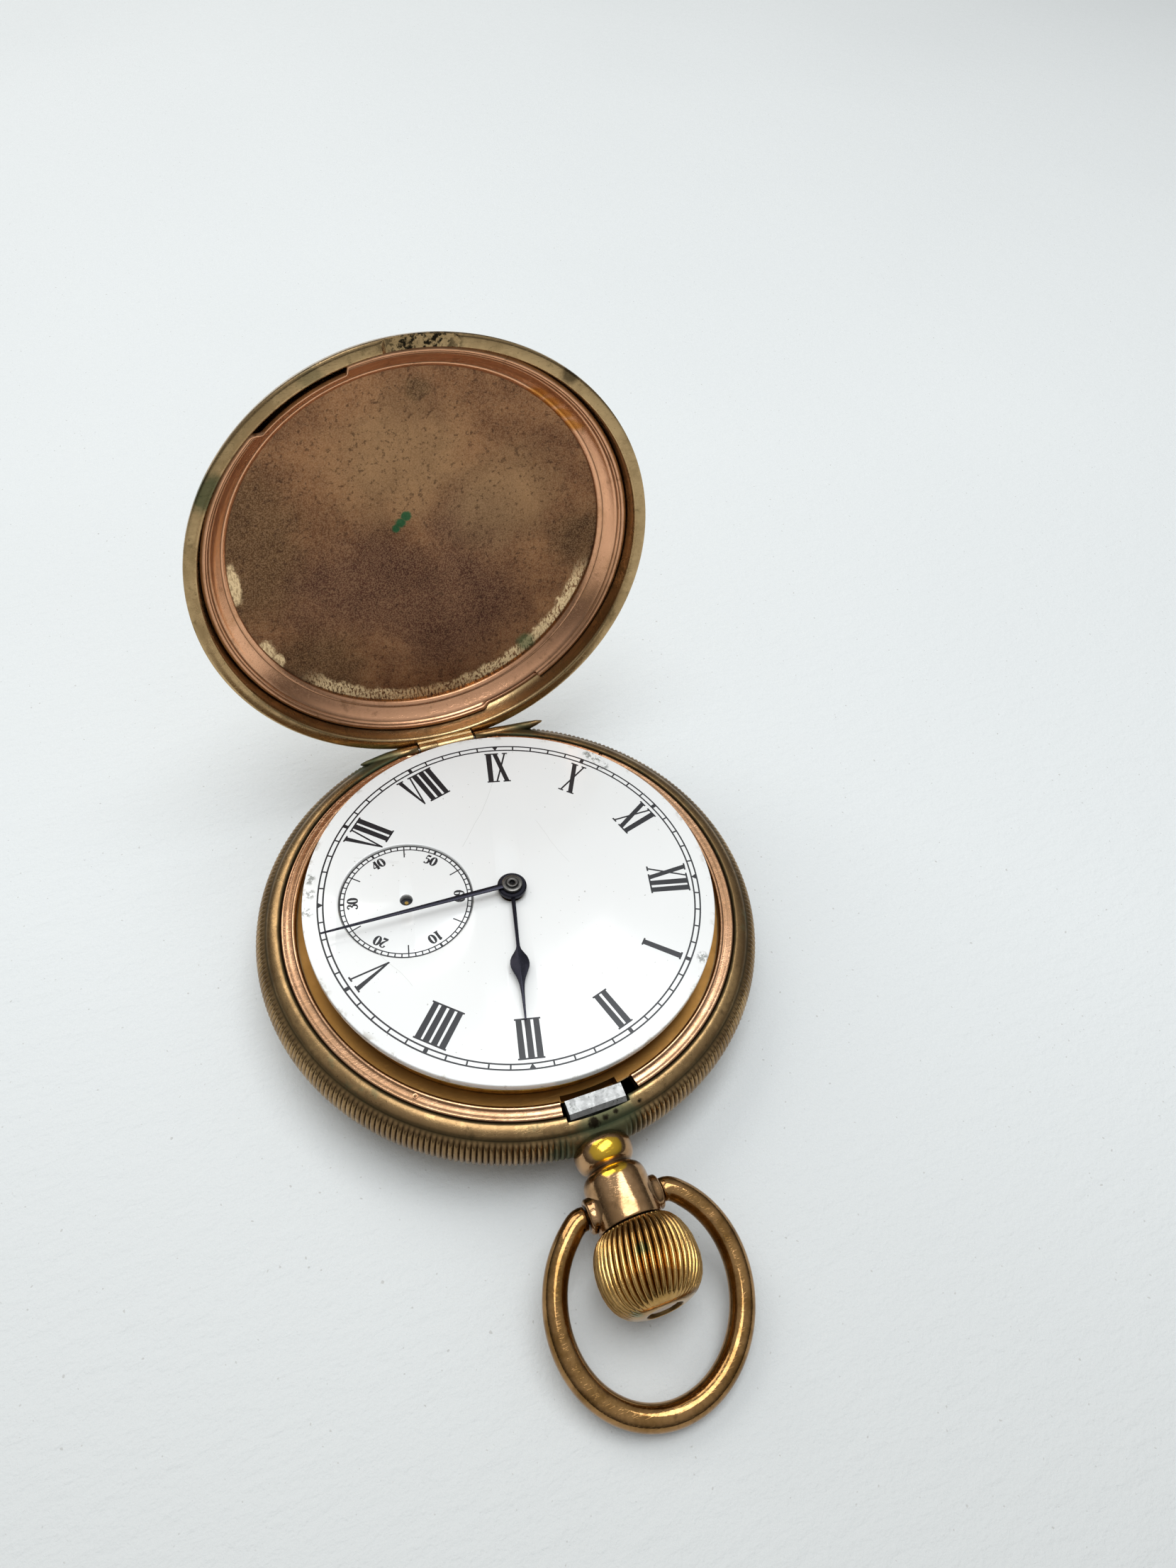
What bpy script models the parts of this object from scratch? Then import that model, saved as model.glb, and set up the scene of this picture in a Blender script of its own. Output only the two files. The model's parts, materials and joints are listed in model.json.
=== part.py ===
"""Hunter pocket watch, lid open, as an assembly of separate pieces.

Metres, +Z out of the dial. The origin is the centre of the flat disc that the
closed rear cover rests on. +X runs along the pendant, and both case hinges
are on the -X side. Heights and radii below are in millimetres.
"""

import math

import bmesh
import bpy
import numpy as np
from mathutils import Matrix, Vector

MM = 0.001

# Case
BAND_R = 26.75
BAND_MID_Z = 6.2
BAND_HALF = 2.3
FLANGE_R = 25.63
FLANGE_Z = 8.5
SEAT_OUT_R = 24.06
SEAT_IN_R = 22.48
SEAT_TOP_Z = 9.25
LEDGE_IN_R = 20.6
LEDGE_Z = (7.9, 8.4)
WALL_IN_R = 24.3
CASE_STEPS = 40

# Front lid, drawn closed and then turned open about its hinge
LID_R = 24.6
LID_RIM_Z = 9.4
LID_OPEN_DEG = 96.9
LID_HINGE = (-24.15, 8.6)
KNUCKLE_R = 0.75
KNUCKLE_HALF = 3.35
HINGE_PIN_R = 0.30
HINGE_BORE_R = 0.36

# Rear cover and dust cover
REAR_R = 25.0
REAR_RIM_Z = 3.6
REST_R = 9.5
REAR_HINGE = (-25.1, 2.95)
REAR_KNUCKLE_R = 0.7
REAR_KNUCKLE_HALF = 3.0
DUST_R = 23.9
DUST_HINGE = (-23.0, 3.4)
DUST_KNUCKLE_R = 0.5
DUST_KNUCKLE_HALF = 2.5

# Pendant, crown and bow, all on the line y = 0, z = BAND_MID_Z
PENDANT_BORE_R = 1.5
SLEEVE_OUT_R = 1.42
SLEEVE_IN_R = 0.85
STEM_R = 0.76
STEM_SQUARE = 0.9
CROWN_X = (35.3, 42.3)
CROWN_FLUTES = 44
FLUTE_DEPTH = 0.28
BOW_PIVOT_X = 32.5
BOW_CENTRE_U = 8.07
BOW_LONG = 9.41
BOW_WIDE = 8.69
BOW_WIRE_R = 1.2
BOW_PIN_R = 0.60
BOSS_BORE_R = 0.68
BOSS_FACE_Y = 3.7
BOW_DROOP_DEG = 15.8

# Movement. The dial is turned in the case, so that III is short of the pendant.
DIAL_TURN_DEG = -13.0
DIAL_R = 21.6
DIAL_Z = (10.7, 11.7)
SECONDS_OFFSET = 11.0
SECONDS_R = 6.95
PLATE_R = 21.0
PLATE_Z = (8.0, 10.4)
POCKET_R = 7.3
POCKET_Z = 9.2
BRIDGE_R = 20.3
BRIDGE_Z = (5.2, 6.05)
WHEEL_LEVEL = (4.4, 5.1)

# Hands
HOUR_HAND_L = 15.3
MINUTE_HAND_L = 19.75
HOUR_HAND_Z = (12.45, 12.63)
MINUTE_HAND_Z = (12.95, 13.12)
HOUR_HAND_DEG = 90.8
MINUTE_HAND_DEG = 168.0

# Wheel centres in plan, and tip radii with tooth counts
BARREL_C = (6.05, 5.72)
CROWN_WHEEL_C = (13.05, 0.0)
THIRD_C = (-5.8, -5.8)
ESCAPE_C = (2.73, -11.3)
FORK_C = (5.97, -9.86)
BALANCE_C = (8.8, -8.6)
MINUTE_WHEEL_DEG = 60.0
MINUTE_WHEEL_D = 3.9
CLICK_C = (7.84, 12.38)
CLICK_AIM_DEG = 27.5
COCK_DEG = -44.0
LEVER_DEG = 302.5 + DIAL_TURN_DEG
CASE_SCREW_R = 19.9
CASE_SCREW_DEG = (145, 270)
LIFT_SCREW_DEG = 116

MATERIALS = {
    "case_brass": ((0.42, 0.29, 0.13), 0.30, 1.0),
    "rose_gold": ((0.72, 0.43, 0.27), 0.22, 1.0),
    "crown_brass": ((0.55, 0.38, 0.15), 0.24, 1.0),
    "bow_bronze": ((0.47, 0.25, 0.12), 0.20, 1.0),
    "catch_steel": ((0.60, 0.60, 0.58), 0.25, 1.0),
    "steel": ((0.50, 0.50, 0.50), 0.30, 1.0),
    "blued_steel": ((0.02, 0.02, 0.04), 0.30, 1.0),
    "enamel": ((0.86, 0.85, 0.80), 0.18, 0.0),
    "gilt": ((0.50, 0.35, 0.10), 0.35, 1.0),
    "gilt_plate": ((0.40, 0.27, 0.08), 0.40, 1.0),
}


def clear_scene():
    for obj in list(bpy.data.objects):
        bpy.data.objects.remove(obj, do_unlink=True)


def collection(name):
    made = bpy.data.collections.new(name)
    bpy.context.scene.collection.children.link(made)
    return made


def make_material(name):
    colour, roughness, metallic = MATERIALS[name]
    made = bpy.data.materials.new(name)
    made.use_nodes = True
    shader = made.node_tree.nodes["Principled BSDF"]
    shader.inputs["Base Color"].default_value = (*colour, 1.0)
    shader.inputs["Roughness"].default_value = roughness
    shader.inputs["Metallic"].default_value = metallic
    made.diffuse_color = (*colour, 1.0)
    return made


clear_scene()
PARTS = collection("hunter_pocket_watch")
CUTTERS = collection("cutters")
MATERIAL = {name: make_material(name) for name in MATERIALS}


# ---------------------------------------------------------------- shapes


def place(mesh, name, group, material=None, origin=(0, 0, 0)):
    """An object for this mesh, whose points are in world millimetres about origin."""
    obj = bpy.data.objects.new(name, mesh)
    group.objects.link(obj)
    obj.location = Vector(origin) * MM
    if material:
        mesh.materials.append(MATERIAL[material])
    return obj


def part(mesh, name, material, origin=(0, 0, 0)):
    return place(mesh, name, PARTS, material, origin)


def helper(mesh, name, origin=(0, 0, 0)):
    """A cutter, or a shape that a part takes in by union. It is never rendered."""
    obj = place(mesh, name, CUTTERS, None, origin)
    obj.hide_render = True
    obj.display_type = "WIRE"
    return obj


def combine(obj, other, operation):
    step = obj.modifiers.new(other.name, "BOOLEAN")
    step.operation = operation
    step.solver = "EXACT"
    step.object = other


def cut(obj, *others):
    for other in others:
        combine(obj, other, "DIFFERENCE")


def join(obj, *others):
    for other in others:
        combine(obj, other, "UNION")


def shade(mesh, angle_deg=35.0):
    mesh.shade_smooth()
    mesh.set_sharp_from_angle(angle=math.radians(angle_deg))


def turned(name, profile, steps=32, axis="Z", centre=(0, 0, 0)):
    """A mesh turned from an (r, h) outline that runs down the outer side and back up."""
    points = [(r * MM, 0.0, h * MM) for r, h in profile]
    closed = profile[0][0] > 0 or profile[-1][0] > 0
    edges = [(i, i + 1) for i in range(len(points) - 1)]
    if closed:
        edges.append((len(points) - 1, 0))
    line = bpy.data.meshes.new(name + "_line")
    line.from_pydata(points, edges, [])
    source = bpy.data.objects.new(name + "_line", line)
    CUTTERS.objects.link(source)
    source.hide_render = True
    screw = source.modifiers.new("Screw", "SCREW")
    screw.axis = "Z"
    screw.steps = steps
    screw.render_steps = steps
    screw.use_merge_vertices = True
    screw.merge_threshold = 1e-6
    screw.use_smooth_shade = True
    graph = bpy.context.evaluated_depsgraph_get()
    mesh = bpy.data.meshes.new_from_object(source.evaluated_get(graph))
    bpy.data.objects.remove(source, do_unlink=True)
    mesh.name = name
    clean(mesh)
    turn = {"Z": (0, 1, 2), "X": (2, 0, 1), "Y": (1, 2, 0)}[axis]
    for vertex in mesh.vertices:
        vertex.co = Vector([vertex.co[i] for i in turn]) + Vector(centre) * MM
    shade(mesh)
    return mesh


def clean(mesh):
    """Joins the doubled points and turns every face outwards."""
    work = bmesh.new()
    work.from_mesh(mesh)
    bmesh.ops.remove_doubles(work, verts=work.verts, dist=1e-7)
    bmesh.ops.dissolve_degenerate(work, edges=work.edges, dist=1e-8)
    bmesh.ops.recalc_face_normals(work, faces=work.faces)
    if work.calc_volume(signed=True) < 0:
        bmesh.ops.reverse_faces(work, faces=work.faces)
    work.to_mesh(mesh)
    work.free()


def flat(name, outlines, low, high):
    """A plate between two heights. The first outline is its edge and the rest are holes."""
    curve = bpy.data.curves.new(name, "CURVE")
    curve.dimensions = "2D"
    curve.fill_mode = "BOTH"
    curve.extrude = (high - low) / 2 * MM
    for outline in outlines:
        spline = curve.splines.new("POLY")
        spline.points.add(len(outline) - 1)
        spline.use_cyclic_u = True
        for point, (x, y) in zip(spline.points, outline):
            point.co = (x * MM, y * MM, 0, 1)
    source = bpy.data.objects.new(name, curve)
    CUTTERS.objects.link(source)
    graph = bpy.context.evaluated_depsgraph_get()
    mesh = bpy.data.meshes.new_from_object(source.evaluated_get(graph))
    bpy.data.objects.remove(source, do_unlink=True)
    mesh.name = name
    for vertex in mesh.vertices:
        vertex.co.z += (low + high) / 2 * MM
    clean(mesh)
    shade(mesh)
    return mesh


def box(name, low, high):
    mesh = bpy.data.meshes.new(name)
    work = bmesh.new()
    bmesh.ops.create_cube(work, size=1.0)
    for vertex in work.verts:
        for i in range(3):
            vertex.co[i] = (low[i] + (vertex.co[i] + 0.5) * (high[i] - low[i])) * MM
    work.to_mesh(mesh)
    work.free()
    return mesh


def rod(name, radius, low, high, axis="Z", centre=(0, 0, 0), steps=16):
    return turned(name, [(0, high), (radius, high), (radius, low), (0, low)], steps, axis, centre)


def circle(radius, steps=24, centre=(0, 0), start=0.0):
    angles = [start + 2 * math.pi * i / steps for i in range(steps)]
    return [(centre[0] + radius * math.cos(a), centre[1] + radius * math.sin(a)) for a in angles]


def arc(radius, first_deg, last_deg, steps, centre=(0, 0)):
    angles = np.radians(np.linspace(first_deg, last_deg, steps + 1))
    return [(centre[0] + radius * math.cos(a), centre[1] + radius * math.sin(a)) for a in angles]


def teeth(count, tip, depth, lean=0.5):
    """A toothed outline. A lean other than 0.5 gives saw teeth."""
    points = []
    for i in range(count):
        a = 2 * math.pi * i / count
        b = 2 * math.pi * (i + lean) / count
        points.append(((tip - depth) * math.cos(a), (tip - depth) * math.sin(a)))
        points.append((tip * math.cos(b), tip * math.sin(b)))
    return points


def windows(inner, outer, count, arm_deg):
    """The openings between a wheel's arms."""
    found = []
    for i in range(count):
        first = 360 * i / count + arm_deg / 2
        last = 360 * (i + 1) / count - arm_deg / 2
        inside = arc(inner, last, first, 2)
        found.append(arc(outer, first, last, 4) + inside)
    return found


def spiral(inner, outer, turns, thickness, per_turn=12):
    """The outline of a flat spiral strip."""
    count = int(turns * per_turn)
    sides = ([], [])
    for i in range(count + 1):
        a = 2 * math.pi * i / per_turn
        r = inner + (outer - inner) * i / count
        for side, sign in zip(sides, (1, -1)):
            reach = r + sign * thickness / 2
            side.append((reach * math.cos(a), reach * math.sin(a)))
    return sides[0] + sides[1][::-1]


def polar(radius, angle_deg):
    a = math.radians(angle_deg)
    return (radius * math.cos(a), radius * math.sin(a))


# ------------------------------------------------------------------ case


def band_profile():
    top = FLANGE_Z
    low = 2 * BAND_MID_Z - FLANGE_Z
    bulge = [(26.3, 1.5), (26.62, 0.8), (BAND_R, 0.0), (26.62, -0.8), (26.3, -1.5)]
    outer = [(24.13, 9.2), (24.7, 9.1), (25.3, 8.82), (FLANGE_R, top)]
    outer += [(r, BAND_MID_Z + dz) for r, dz in bulge]
    outer += [(FLANGE_R, low), (25.0, low - 0.15), (WALL_IN_R, low - 0.15)]
    inner = [(WALL_IN_R, LEDGE_Z[0]), (LEDGE_IN_R, LEDGE_Z[0])]
    inner += [(LEDGE_IN_R, LEDGE_Z[1]), (24.13, LEDGE_Z[1])]
    return outer + inner


def lug(name, sign, reach):
    """One case lug of the front hinge, tapering away along the hinge line."""
    start = KNUCKLE_HALF + 0.15
    rows = [(0, start), (KNUCKLE_R, start), (KNUCKLE_R, start + 2.6)]
    rows += [(0.55, reach - 2.4), (0.28, reach - 0.6), (0, reach)]
    rows = [(r, sign * h) for r, h in rows]
    if sign > 0:
        rows.reverse()
    x, z = LID_HINGE
    return turned(name, rows, 16, "Y", (x, 0, z))


def build_case():
    case = part(turned("case_center", band_profile(), CASE_STEPS), "case_center", "case_brass")
    hole = rod("pendant_hole", 2.0, 23, 28, "X", (0, 0, 0), 20)
    hole.transform(Matrix.Translation((0, 0, BAND_MID_Z * MM)) @ Matrix.Rotation(0.07, 4, "X"))
    pocket = box("catch_pocket", (22.0, -2.7, 8.2), (24.7, 3.65, 12))
    slot = box("catch_slot", (21.8, -2.71, 7.0), (23.95, 3.66, 9))
    x, z = LID_HINGE
    relief = box("lid_relief", (-28, -6.4, z - 0.75), (x - 0.65, 6.4, 12))
    for mesh in (hole, pocket, slot, relief):
        cut(case, helper(mesh, mesh.name))
    join(case, helper(lug("lug_a", 1, 12.2), "lug_a"))
    join(case, helper(lug("lug_b", -1, 10.5), "lug_b"))
    rx, rz = REAR_HINGE
    dx, dz = DUST_HINGE
    for sign in (1, -1):
        start, end = sorted((sign * (REAR_KNUCKLE_HALF + 0.1), sign * 6.4))
        name = "rear_lug_" + "ab"[sign < 0]
        join(case, helper(rod(name, REAR_KNUCKLE_R, start, end, "Y", (rx, 0, rz)), name))
        web = box(name + "_web", (rx - 0.5, start, rz), (rx + 0.35, end, 4.3))
        join(case, helper(web, name + "_web"))
        start, end = sorted((sign * (DUST_KNUCKLE_HALF + 0.1), sign * 4.4))
        name = "dust_lug_" + "ab"[sign < 0]
        join(case, helper(rod(name, DUST_KNUCKLE_R, start, end, "Y", (dx, 0, dz), 12), name))
        web = box(name + "_web", (-24.8, start, 3.78), (dx + 0.2, end, 4.3))
        join(case, helper(web, name + "_web"))
        web = box(name + "_stalk", (dx - 0.4, start, dz), (dx + 0.2, end, 4.3))
        join(case, helper(web, name + "_stalk"))
    reach = KNUCKLE_HALF + 0.08
    room = rod("knuckle_room", KNUCKLE_R + 0.15, -reach, reach, "Y", (x, 0, z))
    bore = rod("front_pin_bore", HINGE_BORE_R, -7.0, 7.0, "Y", (x, 0, z), 12)
    rear_bore = rod("rear_pin_bore", HINGE_BORE_R, -7, 7, "Y", (rx, 0, rz), 12)
    dust_bore = rod("dust_pin_bore", 0.26, -5, 5, "Y", (dx, 0, dz), 12)
    for mesh in (room, bore, rear_bore, dust_bore):
        cut(case, helper(mesh, mesh.name))

    ring_low = LEDGE_Z[1] + 0.05
    profile = [(SEAT_OUT_R - 0.45, SEAT_TOP_Z), (SEAT_OUT_R, SEAT_TOP_Z - 0.12)]
    profile += [(SEAT_OUT_R, ring_low), (SEAT_IN_R, ring_low), (SEAT_IN_R, SEAT_TOP_Z - 0.15)]
    profile += [(SEAT_IN_R + 0.25, SEAT_TOP_Z - 0.02)]
    ring = part(turned("seat_ring", profile, CASE_STEPS), "seat_ring", "rose_gold")
    gap = box("seat_gap", (20, -2.85, 8), (25.5, 4.75, 10))
    knuckle_cut = rod("seat_knuckle_room", KNUCKLE_R + 0.2, -14, 14, "Y", (x, 0, z))
    cut(ring, helper(gap, "seat_gap"), helper(knuckle_cut, "seat_knuckle_room"))

    part(rod("front_hinge_pin", HINGE_PIN_R, -6.9, 6.9, "Y", (x, 0, z), 12), "front_hinge_pin", "steel")
    part(rod("rear_hinge_pin", HINGE_PIN_R, -6.2, 6.2, "Y", (rx, 0, rz), 12), "rear_hinge_pin", "steel")
    part(rod("dust_hinge_pin", 0.2, -4.3, 4.3, "Y", (dx, 0, dz), 12), "dust_hinge_pin", "steel")


def build_springs():
    strip = arc(23.55, -14, 72, 20) + arc(22.95, 72, -14, 20)
    spring = part(flat("lock_spring", [strip], 7.05, 7.75), "lock_spring", "catch_steel")
    foot = box("catch_foot", (22.95, -2.2, 7.05), (23.6, 3.15, 9.0))
    nose = box("catch_nose", (22.7, -2.4, 8.4), (24.5, 3.35, 9.6))
    slope = box("catch_slope", (-0.5, -4, 0), (2.5, 4, 2.5))
    bevel = helper(slope, "catch_slope", (24.08, 0, 9.6))
    bevel.rotation_euler = (0, math.radians(38), 0)
    join(spring, helper(foot, "catch_foot"), helper(nose, "catch_nose"))
    cut(spring, bevel)

    strip = arc(23.9, LIFT_SCREW_DEG - 6, 172, 16) + arc(23.3, 172, LIFT_SCREW_DEG - 6, 16)
    spring = part(flat("lift_spring", [strip], 6.4, 7.6), "lift_spring", "steel")
    bore = rod("lift_screw_bore", 0.4, 20, 30, "X", (0, 0, 7.0), 12)
    head = rod("lift_spring_screw", 0.7, 22.7, 23.2, "X", (0, 0, 7.0), 12)
    shank = rod("lift_shank", 0.33, 22.9, 24.15, "X", (0, 0, 7.0), 12)
    for mesh in (bore, head, shank):
        turn_about_z(mesh, LIFT_SCREW_DEG)
    cut(spring, helper(bore, "lift_screw_bore"))
    join(part(head, "lift_spring_screw", "steel"), helper(shank, "lift_shank"))


def turn_about_z(mesh, angle_deg):
    c, s = math.cos(math.radians(angle_deg)), math.sin(math.radians(angle_deg))
    for vertex in mesh.vertices:
        x, y, z = vertex.co
        vertex.co = (c * x - s * y, s * x + c * y, z)


# ------------------------------------------------------------------- lids


def build_front_lid():
    x, z = LID_HINGE
    outer = [(0, 15.45), (8, 15.3), (15, 14.9), (20, 14.1), (22.6, 12.95)]
    outer += [(24.2, 11.1), (LID_R, LID_RIM_Z)]
    inner = [(23.25, LID_RIM_Z), (23.25, 10.6), (22.4, 12.1)]
    inner += [(20.4, 13.4), (15, 14.25), (8, 14.7), (0, 14.85)]
    shell = turned("front_lid_shell", outer + inner, CASE_STEPS)
    ring_profile = [(22.8, 11.0), (22.1, 12.0), (20.4, 13.15)]
    ring_profile += [(20.2, 12.95), (21.65, 12.0), (22.35, 11.0)]
    ring = turned("front_lid_ring", ring_profile, CASE_STEPS)
    knuckle = rod("lid_knuckle", KNUCKLE_R, -KNUCKLE_HALF, KNUCKLE_HALF, "Y", (x, 0, z))
    half = KNUCKLE_HALF
    web = box("lid_web", (x - 0.35, -half, z + 0.4), (x + 0.35, half, LID_RIM_Z + 0.3))
    bore = rod("lid_bore", HINGE_BORE_R, -5, 5, "Y", (x, 0, z), 12)
    rooms = []
    for sign in (1, -1):
        start, end = sorted((sign * (KNUCKLE_HALF + 0.02), sign * 13))
        name = "lug_room_" + "ab"[sign < 0]
        rooms.append(rod(name, KNUCKLE_R + 0.2, start, end, "Y", (x, 0, z)))
    rooms.append(box("catch_room", (22.5, -2.65, 9.3), (24.42, 3.6, 9.8)))
    hinge = (x, 0, z)
    for mesh in (shell, ring, knuckle, web, bore, *rooms):
        for vertex in mesh.vertices:
            vertex.co -= Vector(hinge) * MM
    opened = (0, -math.radians(LID_OPEN_DEG), 0)
    lid = part(shell, "front_lid_shell", "case_brass", hinge)
    lid.rotation_euler = opened
    for mesh in (knuckle, web, bore, *rooms):
        other = helper(mesh, mesh.name, hinge)
        other.rotation_euler = opened
        combine(lid, other, "UNION" if mesh in (knuckle, web) else "DIFFERENCE")
    part(ring, "front_lid_ring", "rose_gold", hinge).rotation_euler = opened


def build_rear():
    x, z = REAR_HINGE
    outer = [(REAR_R - 0.7, REAR_RIM_Z), (REAR_R, REAR_RIM_Z), (REAR_R, 3.2), (24.2, 2.25)]
    outer += [(22.5, 1.3), (19, 0.6), (14, 0.18), (REST_R, 0.0), (0, 0.0)]
    inner = [(0, 0.6), (REST_R, 0.6), (14, 0.78), (19, 1.2), (22.2, 1.95), (23.7, 2.8)]
    outline = outer[1:] + inner + outer[:1]
    cover = part(turned_cover("rear_cover", outline), "rear_cover", "case_brass")
    knuckle = rod("rear_knuckle", REAR_KNUCKLE_R, -REAR_KNUCKLE_HALF, REAR_KNUCKLE_HALF, "Y", (x, 0, z))
    join(cover, helper(knuckle, "rear_knuckle"))
    bore = rod("rear_bore", HINGE_BORE_R, -4, 4, "Y", (x, 0, z), 12)
    cut(cover, helper(bore, "rear_bore"))
    for sign in (1, -1):
        start, end = sorted((sign * (REAR_KNUCKLE_HALF + 0.02), sign * 6.6))
        name = "rear_room_" + "ab"[sign < 0]
        cut(cover, helper(rod(name, REAR_KNUCKLE_R + 0.2, start, end, "Y", (x, 0, z)), name))

    x, z = DUST_HINGE
    outline = [(DUST_R, 4.0), (DUST_R, 3.5), (23.2, 3.0), (0, 2.6)]
    outline += [(0, 2.95), (22.9, 3.35), (23.5, 3.7), (23.5, 4.0)]
    cover = part(turned_cover("dust_cover", outline), "dust_cover", "gilt")
    for sign in (1, -1):
        start, end = sorted((sign * (DUST_KNUCKLE_HALF + 0.02), sign * 4.5))
        name = "dust_room_" + "ab"[sign < 0]
        cut(cover, helper(box(name, (-25, start, 2.4), (x + 0.75, end, 4.5)), name))
    half = DUST_KNUCKLE_HALF
    knuckle = rod("dust_knuckle", DUST_KNUCKLE_R, -half, half, "Y", (x, 0, z), 12)
    join(cover, helper(knuckle, "dust_knuckle"))
    cut(cover, helper(rod("dust_bore", 0.26, -4, 4, "Y", (x, 0, z), 12), "dust_bore"))


def turned_cover(name, outline):
    """A dish turned from an outline that starts at its outer rim and crosses the axis once."""
    on_axis = [i for i, (r, _) in enumerate(outline) if r == 0]
    first, second = on_axis
    rolled = outline[second:] + outline[: first + 1]
    return turned(name, rolled, CASE_STEPS)


# --------------------------------------------------------- pendant, crown, bow


def build_pendant():
    z = BAND_MID_Z
    outer = [(3.0, 34.55), (3.08, 34.3), (3.1, 30.4), (2.9, 29.7), (2.5, 29.3), (2.1, 29.1)]
    outer += [(2.15, 28.95), (2.55, 28.6), (2.8, 28.0), (2.87, 27.3), (2.82, 26.85)]
    outer += [(1.93, 26.85), (1.93, 24.6), (PENDANT_BORE_R, 24.6), (PENDANT_BORE_R, 34.55)]
    pendant = part(turned("pendant", outer, 20, "X", (0, 0, z)), "pendant", "rose_gold")
    boss = [(0, BOSS_FACE_Y), (1.35, BOSS_FACE_Y), (1.55, 3.3), (1.6, -3.3)]
    boss += [(1.35, -BOSS_FACE_Y), (0, -BOSS_FACE_Y)]
    join(pendant, helper(turned("bow_boss", boss, 16, "Y", (BOW_PIVOT_X, 0, z)), "bow_boss"))
    cut(pendant, helper(rod("pendant_bore", PENDANT_BORE_R, 20, 40, "X", (0, 0, z), 20), "pendant_bore"))
    bore = rod("boss_bore", BOSS_BORE_R, -5, 5, "Y", (BOW_PIVOT_X, 0, z), 16)
    cut(pendant, helper(bore, "boss_bore"))

    sleeve = [(SLEEVE_OUT_R, 35.2), (SLEEVE_OUT_R, 23.85), (SLEEVE_IN_R, 23.85), (SLEEVE_IN_R, 35.2)]
    part(turned("push_sleeve", sleeve, 20, "X", (0, 0, z)), "push_sleeve", "steel")


def build_crown():
    z = BAND_MID_Z
    start, end = CROWN_X
    rows = [(start, 3.3), (start + 0.8, 4.2), (start + 2.7, 4.8)]
    rows += [(start + 5.0, 4.6), (start + 6.2, 3.8), (end - 0.12, 2.3)]
    steps = CROWN_FLUTES * 2
    points, faces = [], []
    for k, (x, r) in enumerate(rows):
        fade = math.sin(math.pi * min(max((k - 0.2) / (len(rows) - 1.0), 0), 1))
        for j in range(steps):
            a = 2 * math.pi * (j + 0.35 * k) / steps
            reach = r - (FLUTE_DEPTH * fade if j % 2 else 0)
            points.append((x * MM, reach * math.cos(a) * MM, reach * math.sin(a) * MM))
    for k in range(len(rows) - 1):
        for j in range(steps):
            n = (j + 1) % steps
            faces.append((k * steps + j, k * steps + n, (k + 1) * steps + n, (k + 1) * steps + j))
    faces.append(tuple(range(steps))[::-1])
    faces.append(tuple(range((len(rows) - 1) * steps, len(rows) * steps)))
    mesh = bpy.data.meshes.new("crown")
    mesh.from_pydata(points, [], faces)
    clean(mesh)
    shade(mesh, 50)
    crown = part(mesh, "crown", "crown_brass", (0, 0, z))
    cut(crown, helper(rod("crown_bore", 0.82, 30, 39.2, "X", (0, 0, z), 16), "crown_bore"))
    cut(crown, helper(rod("crown_recess", 1.75, 41.6, 44, "X", (0, 0, z), 24), "crown_recess"))
    plug = [(0, end - 0.1), (1.2, end - 0.1), (1.6, end - 0.3), (1.6, 41.65), (0, 41.65)]
    part(turned("crown_plug", plug, 24, "X", (0, 0, z)), "crown_plug", "crown_brass")

    stem = part(rod("winding_stem", STEM_R, 20.4, 39.0, "X", (0, 0, z), 16), "winding_stem", "steel")
    half = STEM_SQUARE / 2
    square = box("stem_square", (16.0, -half, z - half), (20.8, half, z + half))
    join(stem, helper(square, "stem_square"))


def bow_line():
    """The wire's centre line in the bow's own plane, as (u, y, radius), for y > 0."""
    pin_end = BOSS_FACE_Y + 0.06
    line = [(0, 2.0, BOW_PIN_R), (0, pin_end - 0.01, BOW_PIN_R), (0, pin_end, 1.02)]
    line += [(0.0, 4.25, 1.08), (0.2, 4.75, 1.1), (0.5, 5.18, 1.1)]
    for a in np.linspace(139, 0, 15):
        a = math.radians(a)
        radius = 1.1 + (BOW_WIRE_R - 1.1) * min(1.0, (math.cos(a) + 1) / 1.2)
        line.append((BOW_CENTRE_U + BOW_LONG * math.cos(a), BOW_WIDE * math.sin(a), radius))
    return line


def build_bow():
    half = bow_line()
    line = half + [(u, -y, r) for u, y, r in reversed(half[:-1])]
    curve = bpy.data.curves.new("bow", "CURVE")
    curve.dimensions = "3D"
    curve.bevel_depth = MM
    curve.bevel_resolution = 2
    curve.use_fill_caps = True
    curve.twist_mode = "Z_UP"
    spline = curve.splines.new("POLY")
    spline.points.add(len(line) - 1)
    for point, (u, y, r) in zip(spline.points, line):
        point.co = (u * MM, y * MM, 0, 1)
        point.radius = r
    source = bpy.data.objects.new("bow_wire", curve)
    CUTTERS.objects.link(source)
    graph = bpy.context.evaluated_depsgraph_get()
    mesh = bpy.data.meshes.new_from_object(source.evaluated_get(graph))
    bpy.data.objects.remove(source, do_unlink=True)
    mesh.name = "bow"
    clean(mesh)
    shade(mesh, 40)
    bow = part(mesh, "bow", "bow_bronze", (BOW_PIVOT_X, 0, BAND_MID_Z))
    bow.rotation_euler = (0, math.radians(BOW_DROOP_DEG), 0)


# --------------------------------------------------------------- movement


def wheel(name, outline, holes, level, centre, material, arbor, pinion=None):
    """A wheel on its arbor, with its pinion. Arbor is (r, low, high)."""
    origin = (centre[0], centre[1], 0)
    obj = part(flat(name, [outline] + holes, *level), name, material, origin)
    join(obj, helper(rod(name + "_arbor", *arbor, steps=10), name + "_arbor", origin))
    if pinion:
        count, tip, low, high = pinion
        leaves = flat(name + "_pinion", [teeth(count, tip, tip * 0.3)], low, high)
        join(obj, helper(leaves, name + "_pinion", origin))
    return obj


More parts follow.
